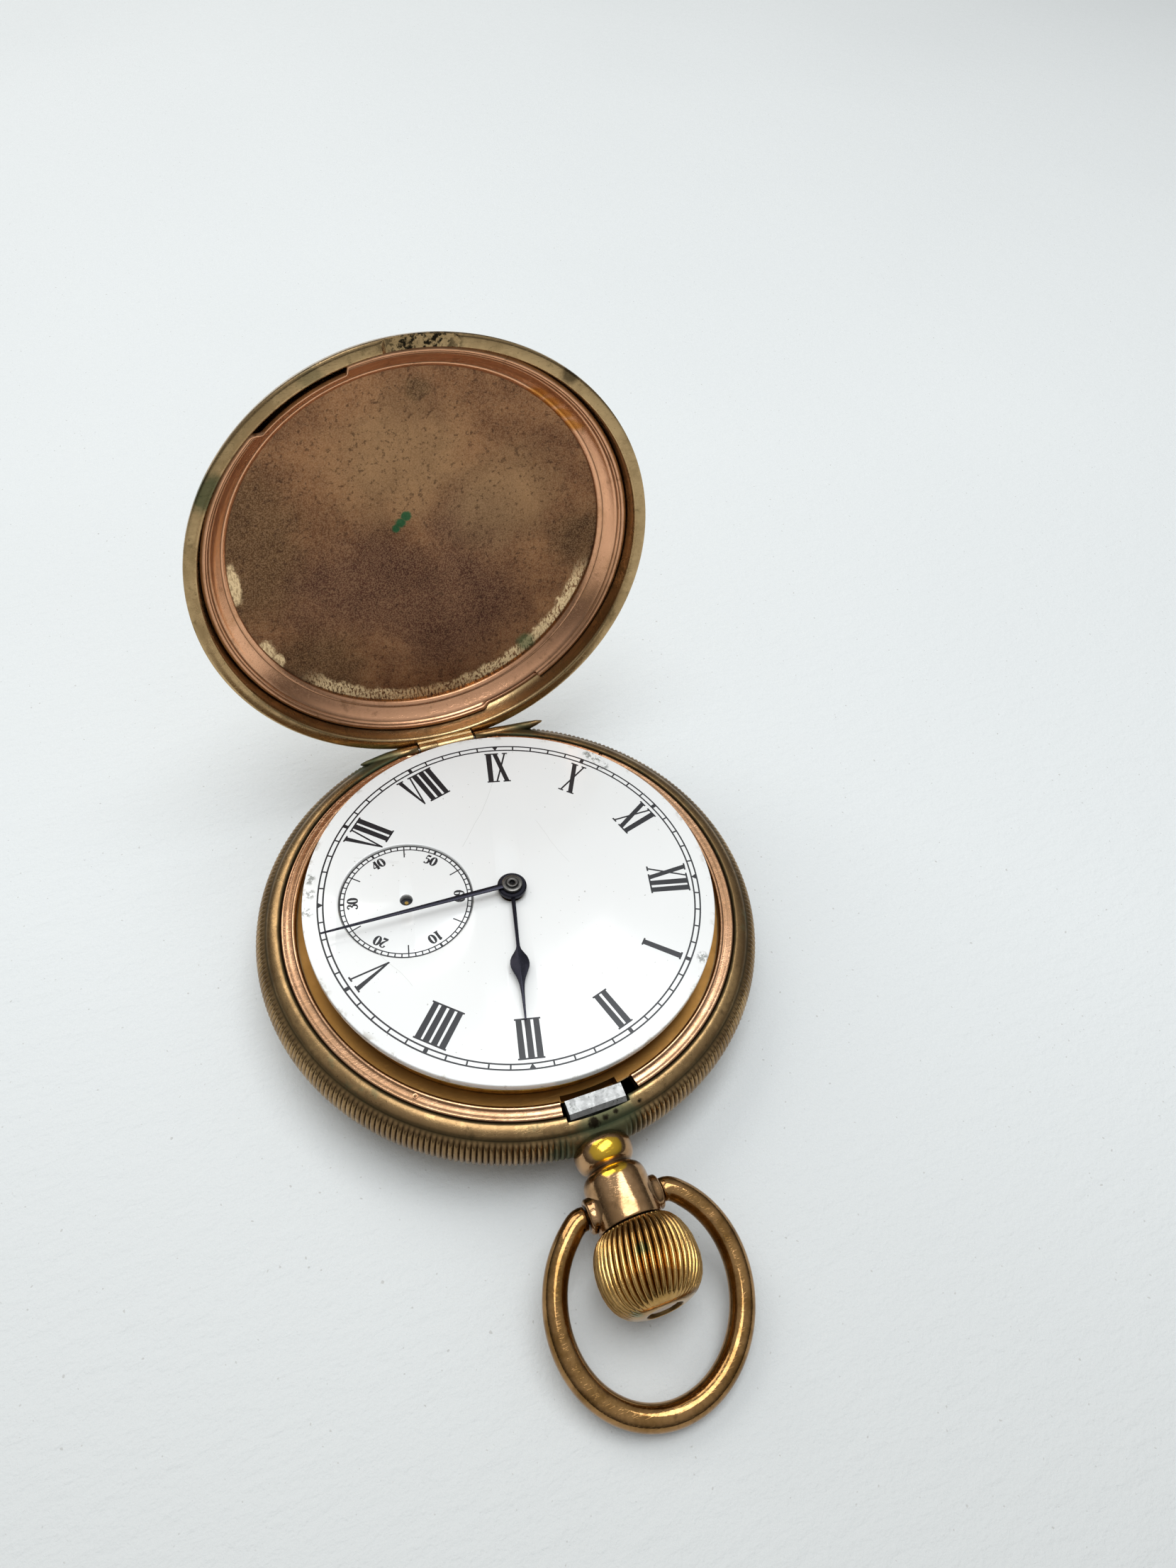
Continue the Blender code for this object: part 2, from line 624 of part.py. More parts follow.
def build_plates():
    low, high = PLATE_Z
    profile = [(PLATE_R, high), (PLATE_R, 8.55), (20.4, 8.45), (20.4, low), (0.6, low)]
    profile += [(0.6, POCKET_Z), (POCKET_R, POCKET_Z), (POCKET_R, high)]
    plate = part(turned("main_plate", profile, 40), "main_plate", "gilt_plate")
    seconds = polar(SECONDS_OFFSET, 270 + DIAL_TURN_DEG)
    spots = [("third", THIRD_C, 0.26), ("fourth", seconds, 0.45), ("escape", ESCAPE_C, 0.26)]
    spots += [("fork", FORK_C, 0.26), ("balance", BALANCE_C, 0.26), ("barrel", BARREL_C, 0.9)]
    for angle in CASE_SCREW_DEG:
        spots.append((f"case_screw_{angle}", polar(CASE_SCREW_R, angle), 0.46))
    for name, centre, radius in spots:
        name = name + "_bearing"
        bore = rod(name, radius, 7.0, 11.0, "Z", (*centre, 0), 10)
        cut(plate, helper(bore, name))
    channel = box("lever_channel", (10, -1.15, 9.5), (24, 1.15, 11))
    turn_about_z(channel, LEVER_DEG)
    cut(plate, helper(channel, "lever_channel"))

    lever = box("setting_lever", (11.2, -1.0, 9.6), (21.35, 1.0, 10.2))
    lever = bevelled(lever, 0.12)
    turn_about_z(lever, LEVER_DEG)
    part(lever, "setting_lever", "steel")

    build_bridge("barrel_bridge", BARREL_BRIDGE, (28, 118), [(BARREL_C, 0.9)])
    pivots = [(THIRD_C, 0.26), (seconds, 0.26), (ESCAPE_C, 0.26), ((0, 0), 0.42)]
    build_bridge("train_bridge", TRAIN_BRIDGE, (186, 258), pivots)


BARREL_BRIDGE = (
    arc(BRIDGE_R, 5, 128, 24)
    + [(-4.5, 6.2), (0.8, 3.0), (2.8, 0.8), (6.0, -1.4), (11.0, -2.3), (15.3, -1.9), (15.3, 1.75)]
)
TRAIN_BRIDGE = (
    arc(BRIDGE_R, 172, 282, 22)
    + arc(5.95, 236, 152, 8, BALANCE_C)
    + [(2.6, -2.6), (2.0, -0.6), (0.3, 1.6), (-2.0, 2.6)]
)


def build_bridge(name, outline, foot_deg, bearings):
    bridge = part(flat(name, [outline], *BRIDGE_Z), name, "gilt_plate")
    foot = arc(BRIDGE_R, *foot_deg, 12) + arc(17.1, foot_deg[1], foot_deg[0], 12)
    join(bridge, helper(flat(name + "_foot", [foot], 5.6, PLATE_Z[0] - 0.03), name + "_foot"))
    for i, (centre, radius) in enumerate(bearings):
        hole = rod(f"{name}_bearing_{i}", radius, 4.5, 7.0, "Z", (*centre, 0), 10)
        cut(bridge, helper(hole, hole.name))


def bevelled(mesh, width):
    work = bmesh.new()
    work.from_mesh(mesh)
    bmesh.ops.bevel(work, geom=work.edges, offset=width * MM, segments=1, affect="EDGES")
    work.to_mesh(mesh)
    work.free()
    return mesh


def build_screws():
    """Cheese-head screws: head below the piece that it holds, shank up into the plate."""
    held = {
        "barrel_bridge": (polar(18.7, 73), BRIDGE_Z[0] - 0.03, 0.9),
        "train_bridge": (polar(18.7, 222), BRIDGE_Z[0] - 0.03, 0.9),
        "balance_cock": (polar(19.35, COCK_DEG), 4.07, 0.75),
    }
    for owner, (spot, top, radius) in held.items():
        name = owner + "_screw"
        low = top - 0.45
        profile = [(0, 7.6), (0.4, 7.6), (0.4, top), (radius, top), (radius, low), (0, low)]
        screw = part(turned(name, profile, 16), name, "steel", (*spot, 0))
        slot = box(name + "_slot", (-2, -0.13, top - 0.7), (2, 0.13, top - 0.25))
        cut(screw, helper(slot, name + "_slot", (*spot, 0)))
        bore = rod(name + "_bore", 0.46, 3.0, 7.8, "Z", (0, 0, 0), 12)
        cut(bpy.data.objects[owner], helper(bore, name + "_bore", (*spot, 0)))
    for letter, angle in zip("ab", CASE_SCREW_DEG):
        low, rim = LEDGE_Z[0] - 0.5, LEDGE_Z[0] - 0.05
        profile = [(0, 9.4), (0.4, 9.4), (0.4, rim), (1.2, rim), (1.2, low), (0, low)]
        name = "case_screw_" + letter
        part(turned(name, profile, 16), name, "steel", (*polar(CASE_SCREW_R, angle), 0))


def build_train():
    seconds = polar(SECONDS_OFFSET, 270 + DIAL_TURN_DEG)
    wheel("center_wheel", teeth(48, 7.35, 0.5), windows(1.6, 6.2, 4, 14), (6.2, 6.42),
          (0, 0), "gilt", (0.34, 5.3, 12.9), (6, 0.9, 6.85, 7.9))
    wheel("third_wheel", teeth(45, 5.15, 0.45), windows(1.3, 4.2, 3, 18), (7.2, 7.42),
          THIRD_C, "gilt", (0.2, 5.3, 8.6), (6, 0.72, 6.12, 6.6))
    wheel("fourth_wheel", teeth(60, 4.55, 0.42), windows(1.2, 3.7, 3, 20), (6.6, 6.82),
          seconds, "gilt", (0.2, 5.3, 10.9), (6, 0.7, 7.1, 7.6))
    wheel("escape_wheel", teeth(15, 2.85, 0.8, 0.12), [], (6.07, 6.27),
          ESCAPE_C, "steel", (0.2, 5.3, 8.6), (6, 0.62, 6.55, 7.0))

    obj = part(flat("pallet_fork", [FORK_OUTLINE], 6.07, 6.27), "pallet_fork", "steel", (*FORK_C, 0))
    obj.rotation_euler = (0, 0, math.radians(FORK_AIM_DEG))
    join(obj, helper(rod("fork_arbor", 0.2, 5.6, 8.6, steps=10), "fork_arbor", (*FORK_C, 0)))
    finger = [(-0.75, -0.75), (0.75, -0.75), (0.8, 0.2), (0.55, 0.8), (-0.55, 0.8), (-0.8, 0.2)]
    bar = flat("pallet_bridge", [finger, circle(0.28, 10)], 5.55, 5.85)
    bar = part(bar, "pallet_bridge", "gilt_plate", (*FORK_C, 0))
    bar_leg = box("pallet_leg", (-0.2, -6.9, 5.55), (0.75, -0.6, 5.85))
    post = box("pallet_post", (-0.2, -6.9, 5.55), (0.75, -5.9, 7.95))
    bar.rotation_euler = (0, 0, math.radians(-2))
    for mesh in (bar_leg, post):
        other = helper(mesh, mesh.name, (*FORK_C, 0))
        other.rotation_euler = bar.rotation_euler
        join(bar, other)

    rim = circle(5.35, 32)
    obj = flat("balance_wheel", [rim] + windows(0.9, 4.65, 2, 26), 5.05, 5.35)
    obj = part(obj, "balance_wheel", "gilt", (*BALANCE_C, 0))
    staff = [(0, 8.6), (0.2, 8.6), (0.2, 6.6), (1.0, 6.6), (1.0, 6.4), (0.4, 6.4)]
    staff += [(0.4, 4.65), (0.2, 4.65), (0.2, 4.2), (0, 4.2)]
    join(obj, helper(turned("balance_staff", staff, 12), "balance_staff", (*BALANCE_C, 0)))
    coil = flat("hairspring", [spiral(0.62, 3.0, 4, 0.12)], 4.72, 4.92)
    part(coil, "hairspring", "blued_steel", (*BALANCE_C, 0))

    arm = arc(1.6, COCK_DEG + 90, COCK_DEG + 270, 8, BALANCE_C)
    arm += arc(BRIDGE_R, COCK_DEG - 14, COCK_DEG + 14, 6)
    cock = flat("balance_cock", [arm, circle(0.28, 10, BALANCE_C)], 4.1, 4.6)
    cock = part(cock, "balance_cock", "gilt_plate")
    foot = arc(BRIDGE_R, COCK_DEG - 14, COCK_DEG + 14, 6)
    foot += arc(18.45, COCK_DEG + 14, COCK_DEG - 14, 6)
    join(cock, helper(flat("cock_foot", [foot], 4.3, 7.97), "cock_foot"))
    hand = circle(1.3, 20)
    pointer = flat("regulator", [hand, circle(0.7, 16)], 3.82, 4.05)
    obj = part(pointer, "regulator", "steel", (*BALANCE_C, 0))
    tail = box("regulator_tail", (1.1, -0.15, 3.82), (4.3, 0.15, 4.05))
    other = helper(tail, "regulator_tail", (*BALANCE_C, 0))
    other.rotation_euler = (0, 0, math.radians(150))
    join(obj, other)


FORK_AIM_DEG = math.degrees(math.atan2(BALANCE_C[1] - FORK_C[1], BALANCE_C[0] - FORK_C[0]))
FORK_OUTLINE = [
    (-0.4, -0.9), (-0.35, -1.9), (0.0, -1.95), (0.05, -1.3), (0.4, -0.4), (2.3, -0.2),
    (2.5, -0.45), (2.62, -0.4), (2.42, 0.0), (2.62, 0.4), (2.5, 0.45), (2.3, 0.2),
    (0.4, 0.4), (0.05, 1.3), (0.0, 1.95), (-0.35, 1.9), (-0.4, 0.9),
]


def build_winding():
    low, high = WHEEL_LEVEL
    z = BAND_MID_Z
    leaves = flat("winding_pinion", [teeth(6, 1.05, 0.25)], 15.6, 17.6)
    for vertex in leaves.vertices:
        a, b, c = vertex.co
        vertex.co = (c, a, b + z * MM)
    pinion = part(leaves, "winding_pinion", "steel")
    half = STEM_SQUARE / 2 + 0.06
    cut(pinion, helper(box("pinion_square", (14, -half, z - half), (19, half, z + half)), "pinion_square"))

    toothed = flat("crown_wheel", [teeth(20, 3.6, 0.4), circle(1.0, 16)], low, high)
    part(toothed, "crown_wheel", "steel", (*CROWN_WHEEL_C, 0))
    core = [(0, 5.17), (0.93, 5.17), (0.93, 4.35), (1.5, 4.35), (1.5, 4.05), (0, 4.05)]
    part(turned("crown_wheel_screw", core, 20), "crown_wheel_screw", "steel", (*CROWN_WHEEL_C, 0))

    ratchet = flat("ratchet_wheel", [teeth(30, 5.35, 0.45, 0.2), circle(0.85, 16)], low, high)
    part(ratchet, "ratchet_wheel", "steel", (*BARREL_C, 0))
    arbor = [(0, 9.1), (0.8, 9.1), (0.8, 7.9), (1.1, 7.9), (1.1, 6.7), (0.78, 6.7)]
    arbor += [(0.78, 4.45), (0, 4.45)]
    part(turned("barrel_arbor", arbor, 20), "barrel_arbor", "steel", (*BARREL_C, 0))
    head = [(0, 4.4), (0.7, 4.4), (0.7, 4.35), (1.6, 4.35), (1.6, 4.0), (0, 4.0)]
    screw = part(turned("ratchet_screw", head, 20), "ratchet_screw", "steel", (*BARREL_C, 0))
    slot = box("ratchet_screw_slot", (-2, -0.15, 3.8), (2, 0.15, 4.15))
    cut(screw, helper(slot, "ratchet_screw_slot", (*BARREL_C, 0)))

    drum = flat("barrel", [teeth(48, 7.2, 0.5), circle(1.2, 16)], 7.45, 7.85)
    drum = part(drum, "barrel", "gilt", (*BARREL_C, 0))
    wall = [(6.6, 7.5), (6.6, 6.55), (6.2, 6.55), (6.2, 7.5)]
    join(drum, helper(turned("barrel_wall", wall, 32), "barrel_wall", (*BARREL_C, 0)))
    coil = flat("mainspring", [spiral(1.35, 6.0, 4, 0.28)], 6.6, 7.35)
    part(coil, "mainspring", "blued_steel", (*BARREL_C, 0))

    outline = [(0.75, -0.3), (0.55, 0.5), (0, 0.75), (-0.55, 0.55), (-2.3, 0.35)]
    outline += [(-2.45, 0.0), (-0.7, -0.45), (0, -0.75)]
    click = flat("click", [outline, circle(0.36, 12)], low, high)
    click = part(click, "click", "steel", (*CLICK_C, 0))
    click.rotation_euler = (0, 0, math.radians(CLICK_AIM_DEG))
    stud = [(0, 5.17), (0.3, 5.17), (0.3, 4.35), (0.65, 4.35), (0.65, 4.1), (0, 4.1)]
    part(turned("click_screw", stud, 12), "click_screw", "steel", (*CLICK_C, 0))


def build_motion_work():
    leaf = flat("cannon_pinion", [teeth(10, 0.95, 0.2), circle(0.42, 12)], 9.4, 9.75)
    cannon = part(leaf, "cannon_pinion", "steel")
    pipe = turned("cannon_pipe", [(0.6, 12.9), (0.6, 9.4), (0.42, 9.4), (0.42, 12.9)], 16)
    join(cannon, helper(pipe, "cannon_pipe"))
    minute = polar(MINUTE_WHEEL_D, MINUTE_WHEEL_DEG)
    obj = flat("minute_wheel", [teeth(30, 2.85, 0.3), circle(0.3, 10)], 9.4, 9.7)
    obj = part(obj, "minute_wheel", "gilt", (*minute, 0))
    leaves = flat("minute_pinion", [teeth(8, 0.75, 0.22), circle(0.3, 10)], 9.65, 10.2)
    join(obj, helper(leaves, "minute_pinion", (*minute, 0)))
    wheel_mesh = flat("hour_wheel", [teeth(32, 3.05, 0.3), circle(0.7, 16)], 9.9, 10.15)
    hour = part(wheel_mesh, "hour_wheel", "gilt")
    pipe = turned("hour_pipe", [(0.95, 12.43), (0.95, 10.0), (0.7, 10.0), (0.7, 12.43)], 16)
    join(hour, helper(pipe, "hour_pipe"))


def build_dial():
    hole = polar(SECONDS_OFFSET, 270)
    low, high = DIAL_Z
    edge = [(DIAL_R - 0.15, high), (DIAL_R, high - 0.25), (DIAL_R, low), (1.25, low), (1.25, high)]
    dial = part(turned("dial", edge, 48), "dial", "enamel")
    dial.rotation_euler = (0, 0, math.radians(DIAL_TURN_DEG))
    opening = helper(rod("seconds_opening", SECONDS_R, 10, 13, "Z", (*hole, 0), 36), "seconds_opening")
    opening.rotation_euler = dial.rotation_euler
    cut(dial, opening)
    mesh = flat("seconds_dial", [circle(SECONDS_R - 0.08, 36), circle(0.66, 16)], low, high - 0.22)
    seconds = part(mesh, "seconds_dial", "enamel", (*polar(SECONDS_OFFSET, 270 + DIAL_TURN_DEG), 0))
    seconds.rotation_euler = dial.rotation_euler


def build_hands():
    low, high = HOUR_HAND_Z
    length = HOUR_HAND_L
    side = [(1.2, 0.17), (7.6, 0.14), (8.2, 0.3), (8.7, 0.72), (9.25, 0.9), (9.8, 0.78)]
    side += [(10.5, 0.4), (11.6, 0.2), (length, 0.05)]
    blade = side + [(x, -w) for x, w in reversed(side)]
    aim = 90 + DIAL_TURN_DEG - HOUR_HAND_DEG
    hand = part(flat("hour_hand", [blade], low, high), "hour_hand", "blued_steel")
    hand.rotation_euler = (0, 0, math.radians(aim))
    boss = turned("hour_boss", [(1.5, 12.75), (1.55, low), (0.98, low), (0.98, 12.75)], 24)
    join(hand, helper(boss, "hour_boss"))

    low, high = MINUTE_HAND_Z
    side = [(0.6, 0.34), (6, 0.26), (MINUTE_HAND_L, 0.05)]
    blade = side + [(x, -w) for x, w in reversed(side)]
    aim = 90 + DIAL_TURN_DEG - MINUTE_HAND_DEG
    hand = part(flat("minute_hand", [blade], low, high), "minute_hand", "blued_steel")
    hand.rotation_euler = (0, 0, math.radians(aim))
    boss = turned("minute_boss", [(0, 13.4), (0.55, 13.4), (1.0, 13.25), (1.0, low), (0, low)], 24)
    join(hand, helper(boss, "minute_boss"))


build_case()
build_springs()
build_front_lid()
build_rear()
build_pendant()
build_crown()
build_bow()
build_plates()
build_train()
build_screws()
build_winding()
build_motion_work()
build_dial()
build_hands()
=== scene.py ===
"""Hunter pocket watch: the visual model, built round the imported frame.

Lengths below are in millimetres, in the frame's own axes: +Z out of the dial,
+X along the pendant, hinges at -X. Lid pieces are drawn closed, then opened.
"""

import json
import math
import random

import bmesh
import bpy
import numpy as np
from mathutils import Euler, Matrix, Vector


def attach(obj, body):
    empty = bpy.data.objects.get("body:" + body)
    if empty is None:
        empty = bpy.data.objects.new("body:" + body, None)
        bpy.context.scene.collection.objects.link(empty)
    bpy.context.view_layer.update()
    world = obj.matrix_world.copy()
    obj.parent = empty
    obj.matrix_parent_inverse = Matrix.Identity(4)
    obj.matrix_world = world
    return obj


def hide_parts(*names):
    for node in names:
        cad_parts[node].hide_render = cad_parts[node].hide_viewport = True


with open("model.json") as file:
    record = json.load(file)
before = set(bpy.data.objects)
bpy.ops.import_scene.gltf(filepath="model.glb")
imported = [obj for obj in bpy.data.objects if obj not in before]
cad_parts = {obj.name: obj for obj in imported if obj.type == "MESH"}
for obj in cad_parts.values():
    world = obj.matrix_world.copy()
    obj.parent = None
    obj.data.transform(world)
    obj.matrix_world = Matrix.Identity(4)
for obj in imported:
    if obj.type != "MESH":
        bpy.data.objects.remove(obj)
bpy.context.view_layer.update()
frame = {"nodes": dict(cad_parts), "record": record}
nodes = frame["nodes"]

MM = 0.001
TAU = 2 * math.pi

# Case
BAND_MID_Z = 6.2
REEDS = 296
REED_STEPS = 8
REED_DEPTH = 0.27
FINE = 360

# Lid
LID_HINGE = (-24.15, 0.0, 8.6)
LID_OPEN_DEG = 96.9
KNUCKLE_R = 0.75
KNUCKLE_GAP = 0.2

# Spans round the case, as a middle and a half width in degrees. The catch has a pocket in
# the band, a gap in the seat ring and a notch in the lid's rim. The hinge has a cut in the
# band and a gap in the seat ring.
CATCH_POCKET = (1.15, 7.45)
CATCH_GAP = (2.4, 9.35)
CATCH_NOTCH = (1.2, 8.2)
HINGE_CUT = (180, 14.5)
HINGE_CUT_Z = 7.95
HINGE_GAP = (180, 15.4)

# Bow
BOW_PIVOT = (32.5, 0.0, BAND_MID_Z)
BOW_DROOP_DEG = 15.8
BOW_CENTRE_U = 8.07
BOW_LONG = 9.41
BOW_WIDE = 8.69
BOW_LEAN = 0.05

# Crown
CROWN_X = (34.8, 42.2)
CROWN_FLUTES = 44

# Dial and hands
DIAL_TURN_DEG = -13.0
DIAL_R = 21.6
DIAL_GAP = 0.1
DIAL_CHIPS = ((20.7, 146), (21.0, 149), (20.4, 143), (21.1, -88), (20.9, -94), (21.2, -99), (21.1, 62))
DIAL_LOW = 10.7
DIAL_TOP = 11.7
SECONDS_OFFSET = 11.0
SECONDS_R = 6.95
SECONDS_TOP = 11.48
HOUR_DEG = 90.8
MINUTE_DEG = 168.0
MINUTE_TIP = 19.95


def smooth_step(value, low, high):
    t = min(max((value - low) / (high - low), 0.0), 1.0)
    return t * t * (3 - 2 * t)


def polar(radius, degrees):
    a = math.radians(degrees)
    return (radius * math.cos(a), radius * math.sin(a))


# ------------------------------------------------------------- materials


class Look:
    """One material's node tree. Sizes and places are in millimetres."""

    def __init__(self, name):
        self.material = bpy.data.materials.new(name)
        self.material.use_nodes = True
        self.tree = self.material.node_tree
        self.tree.nodes.clear()
        self.shader = self.add("ShaderNodeBsdfPrincipled")
        output = self.add("ShaderNodeOutputMaterial")
        self.link(self.shader.outputs["BSDF"], output.inputs["Surface"])
        place = self.add("ShaderNodeTexCoord").outputs["Object"]
        self.place = self.vector("SCALE", {0: place, "Scale": 1 / MM})
        self.normal = None

    def add(self, kind, values=(), **settings):
        """A node, its settings, and what its inputs are linked to or hold."""
        node = self.tree.nodes.new(kind)
        for key, value in settings.items():
            setattr(node, key, value)
        for key, value in dict(values).items():
            self.link(value, node.inputs[key])
        return node

    def link(self, source, target):
        if isinstance(source, (int, float, tuple, list)):
            if isinstance(source, (tuple, list)) and len(source) == 3 and target.type == "RGBA":
                source = (*source, 1)
            target.default_value = source
        else:
            self.tree.links.new(source, target)

    def noise(self, size, detail=3.0, rough=0.55, stretch=(1, 1, 1), turn=(0, 0, 0), place=None, warp=0.0):
        mapping = self.add("ShaderNodeMapping", {
            "Vector": place or self.place,
            "Scale": [1 / (size * k) for k in stretch],
            "Rotation": [math.radians(a) for a in turn],
            "Location": (size * 3.7, detail * 1.3, size * 1.9),
        })
        noise = {"Scale": 1.0, "Detail": detail, "Roughness": rough, "Distortion": warp}
        noise["Vector"] = mapping.outputs["Vector"]
        return self.add("ShaderNodeTexNoise", noise).outputs["Fac"]

    def step(self, value, low, high):
        """0 below low, 1 above high. Falls instead where low is over high."""
        ends = (0.0, 1.0)
        if low > high:
            low, high, ends = high, low, (1.0, 0.0)
        ramp = {"Value": value, "From Min": low, "From Max": high, "To Min": ends[0], "To Max": ends[1]}
        return self.add("ShaderNodeMapRange", ramp, interpolation_type="SMOOTHSTEP").outputs["Result"]

    def math(self, operation, a, b=0.0, clamp=False):
        return self.add("ShaderNodeMath", {0: a, 1: b}, operation=operation, use_clamp=clamp).outputs[0]

    def vector(self, operation, values):
        """Vector arithmetic. The length of a vector comes out as a value."""
        node = self.add("ShaderNodeVectorMath", values, operation=operation)
        return node.outputs["Value" if operation == "LENGTH" else 0]

    def parts(self, vector):
        return self.add("ShaderNodeSeparateXYZ", {0: vector}).outputs

    def both(self, *values):
        found = values[0]
        for value in values[1:]:
            found = self.math("MULTIPLY", found, value)
        return found

    def either(self, *values):
        found = values[0]
        for value in values[1:]:
            found = self.math("MAXIMUM", found, value)
        return found

    def plus(self, a, b, clamp=False):
        return self.math("ADD", a, b, clamp)

    def level(self, value, low, high):
        """A 0 to 1 value turned into low to high."""
        return self.plus(self.both(value, high - low), low)

    def mix(self, share, a, b):
        node = self.add("ShaderNodeMix", data_type="RGBA", clamp_factor=True)
        for target, source in ((0, share), (6, a), (7, b)):
            self.link(source, node.inputs[target])
        return node.outputs[2]

    def tint(self, colour, share, strength, other):
        """A colour with another over it, by strength where share is 1."""
        return self.mix(self.both(share, strength), colour, other)

    def patches(self, size, detail, rough, low, high, stretch=(1, 1, 1)):
        """Noise cut to 0 below low and 1 above high."""
        return self.step(self.noise(size, detail, rough, stretch), low, high)

    def blots(self, *rows):
        """Several places together. Each row is a strength, then what near takes."""
        return self.either(*(self.both(self.near(*place), strength) for strength, *place in rows))

    def axes(self):
        return self.parts(self.place)

    def radius(self, place=None):
        """How far a place is from the Z axis."""
        x, y, _ = self.parts(place or self.place)
        return self.math("SQRT", self.plus(self.both(x, x), self.both(y, y)))

    def wobbly(self, value, wobble, size):
        if not wobble:
            return value
        return self.plus(value, self.level(self.noise(size, 3, 0.6), -wobble, wobble))

    def near(self, centre, reach, soft, wobble=0.0, size=1.0, squeeze=(1, 1, 1)):
        """1 within reach of a place, falling to 0 over soft, with a wobbling edge."""
        from_centre = self.vector("SUBTRACT", {0: self.place, 1: centre})
        value = self.vector("LENGTH", {0: self.vector("MULTIPLY", {0: from_centre, 1: squeeze})})
        return self.step(self.wobbly(value, wobble, size), reach + soft, reach)

    def ring(self, radius, half, soft, wobble=0.0, size=1.0):
        """1 on a circle of that radius about the Z axis."""
        value = self.math("ABSOLUTE", self.math("SUBTRACT", self.radius(), radius))
        return self.step(self.wobbly(value, wobble, size), half + soft, half)

    def attribute(self, name):
        return self.add("ShaderNodeAttribute", attribute_name=name).outputs["Fac"]

    def bump(self, height, distance, strength=1.0):
        node = self.add("ShaderNodeBump", {"Height": height, "Distance": distance * MM, "Strength": strength})
        if self.normal is not None:
            self.link(self.normal, node.inputs["Normal"])
        self.normal = node.outputs["Normal"]

    def done(self, colour, roughness, metallic=1.0, **sockets):
        self.link(colour, self.shader.inputs["Base Color"])
        self.link(roughness, self.shader.inputs["Roughness"])
        self.link(metallic, self.shader.inputs["Metallic"])
        for name, value in sockets.items():
            self.shader.inputs[name.replace("_", " ")].default_value = value
        if self.normal is not None:
            self.link(self.normal, self.shader.inputs["Normal"])
        return self.material

    def scratches(self, size, length, share):
        """Fine hairlines in three directions, about 0 to 1."""
        found = None
        for turn in ((0, 0, 20), (0, 35, 75), (40, 10, 130)):
            line = self.noise(size, 1, 0.5, (1, length, 1), turn)
            line = self.step(line, share, share + 0.06)
            found = line if found is None else self.either(found, line)
        return found


VERDIGRIS = (0.07, 0.17, 0.10)
SOOT = (0.018, 0.014, 0.008)


def metal(name, bright, dull, dark, rough, spots=0.6, patch=5.0, tone=0.5, lines=None, tail=None):
    """Worn metal: clouds of tarnish, dark pits, hairlines and fine grain."""
    look = Look(name)
    clouds = look.noise(patch, 4, 0.6, warp=0.6)
    mottle = look.noise(0.55, 4, 0.65)
    pits = look.noise(0.22, 2, 0.5)
    tarnish = look.plus(look.both(clouds, 0.7), look.both(mottle, 0.3))
    share = look.step(tarnish, tone - 0.14, tone + 0.14)
    stain = look.patches(1.6, 5, 0.7, 0.56, 0.72)
    colour = look.mix(share, bright, dull)
    colour = look.tint(colour, stain, 0.55, dark)
    colour = look.tint(colour, look.step(pits, 0.66, 0.74), spots, dark)
    roughness = look.level(look.plus(look.both(share, 0.6), look.both(stain, 0.4)), *rough)
    look.bump(mottle, 0.02, 0.35)
    look.bump(look.scratches(0.10, 26, 0.66), 0.008, 0.35)
    look.bump(pits, 0.012, 0.3)
    if lines:
        along = look.add("ShaderNodeCombineXYZ", {0: look.radius()})
        groove = look.noise(lines, 2, 0.6, place=along.outputs[0])
        colour = look.tint(colour, look.step(groove, 0.56, 0.68), 0.5, dark)
        look.bump(groove, 0.03, 0.6)
    if tail:
        colour, roughness = tail(look, colour, roughness)
    return look.done(colour, roughness)


def dirt_in(amount=1.0, colour=SOOT):
    """Grime held in the low places, and painted shade in recesses and between parts, both as the shape's own
    point attribute says.
    """

    def tail(look, base, roughness):
        uneven = look.level(look.noise(2.5, 4, 0.6), 0.55, 1.25)
        # The attribute's value darkens both real grime and painted shade.
        share = look.math("MULTIPLY", look.both(look.attribute("grime_and_shade"), uneven), amount, clamp=True)
        return look.mix(share, base, colour), look.plus(roughness, look.both(share, 0.35), clamp=True)

    return tail


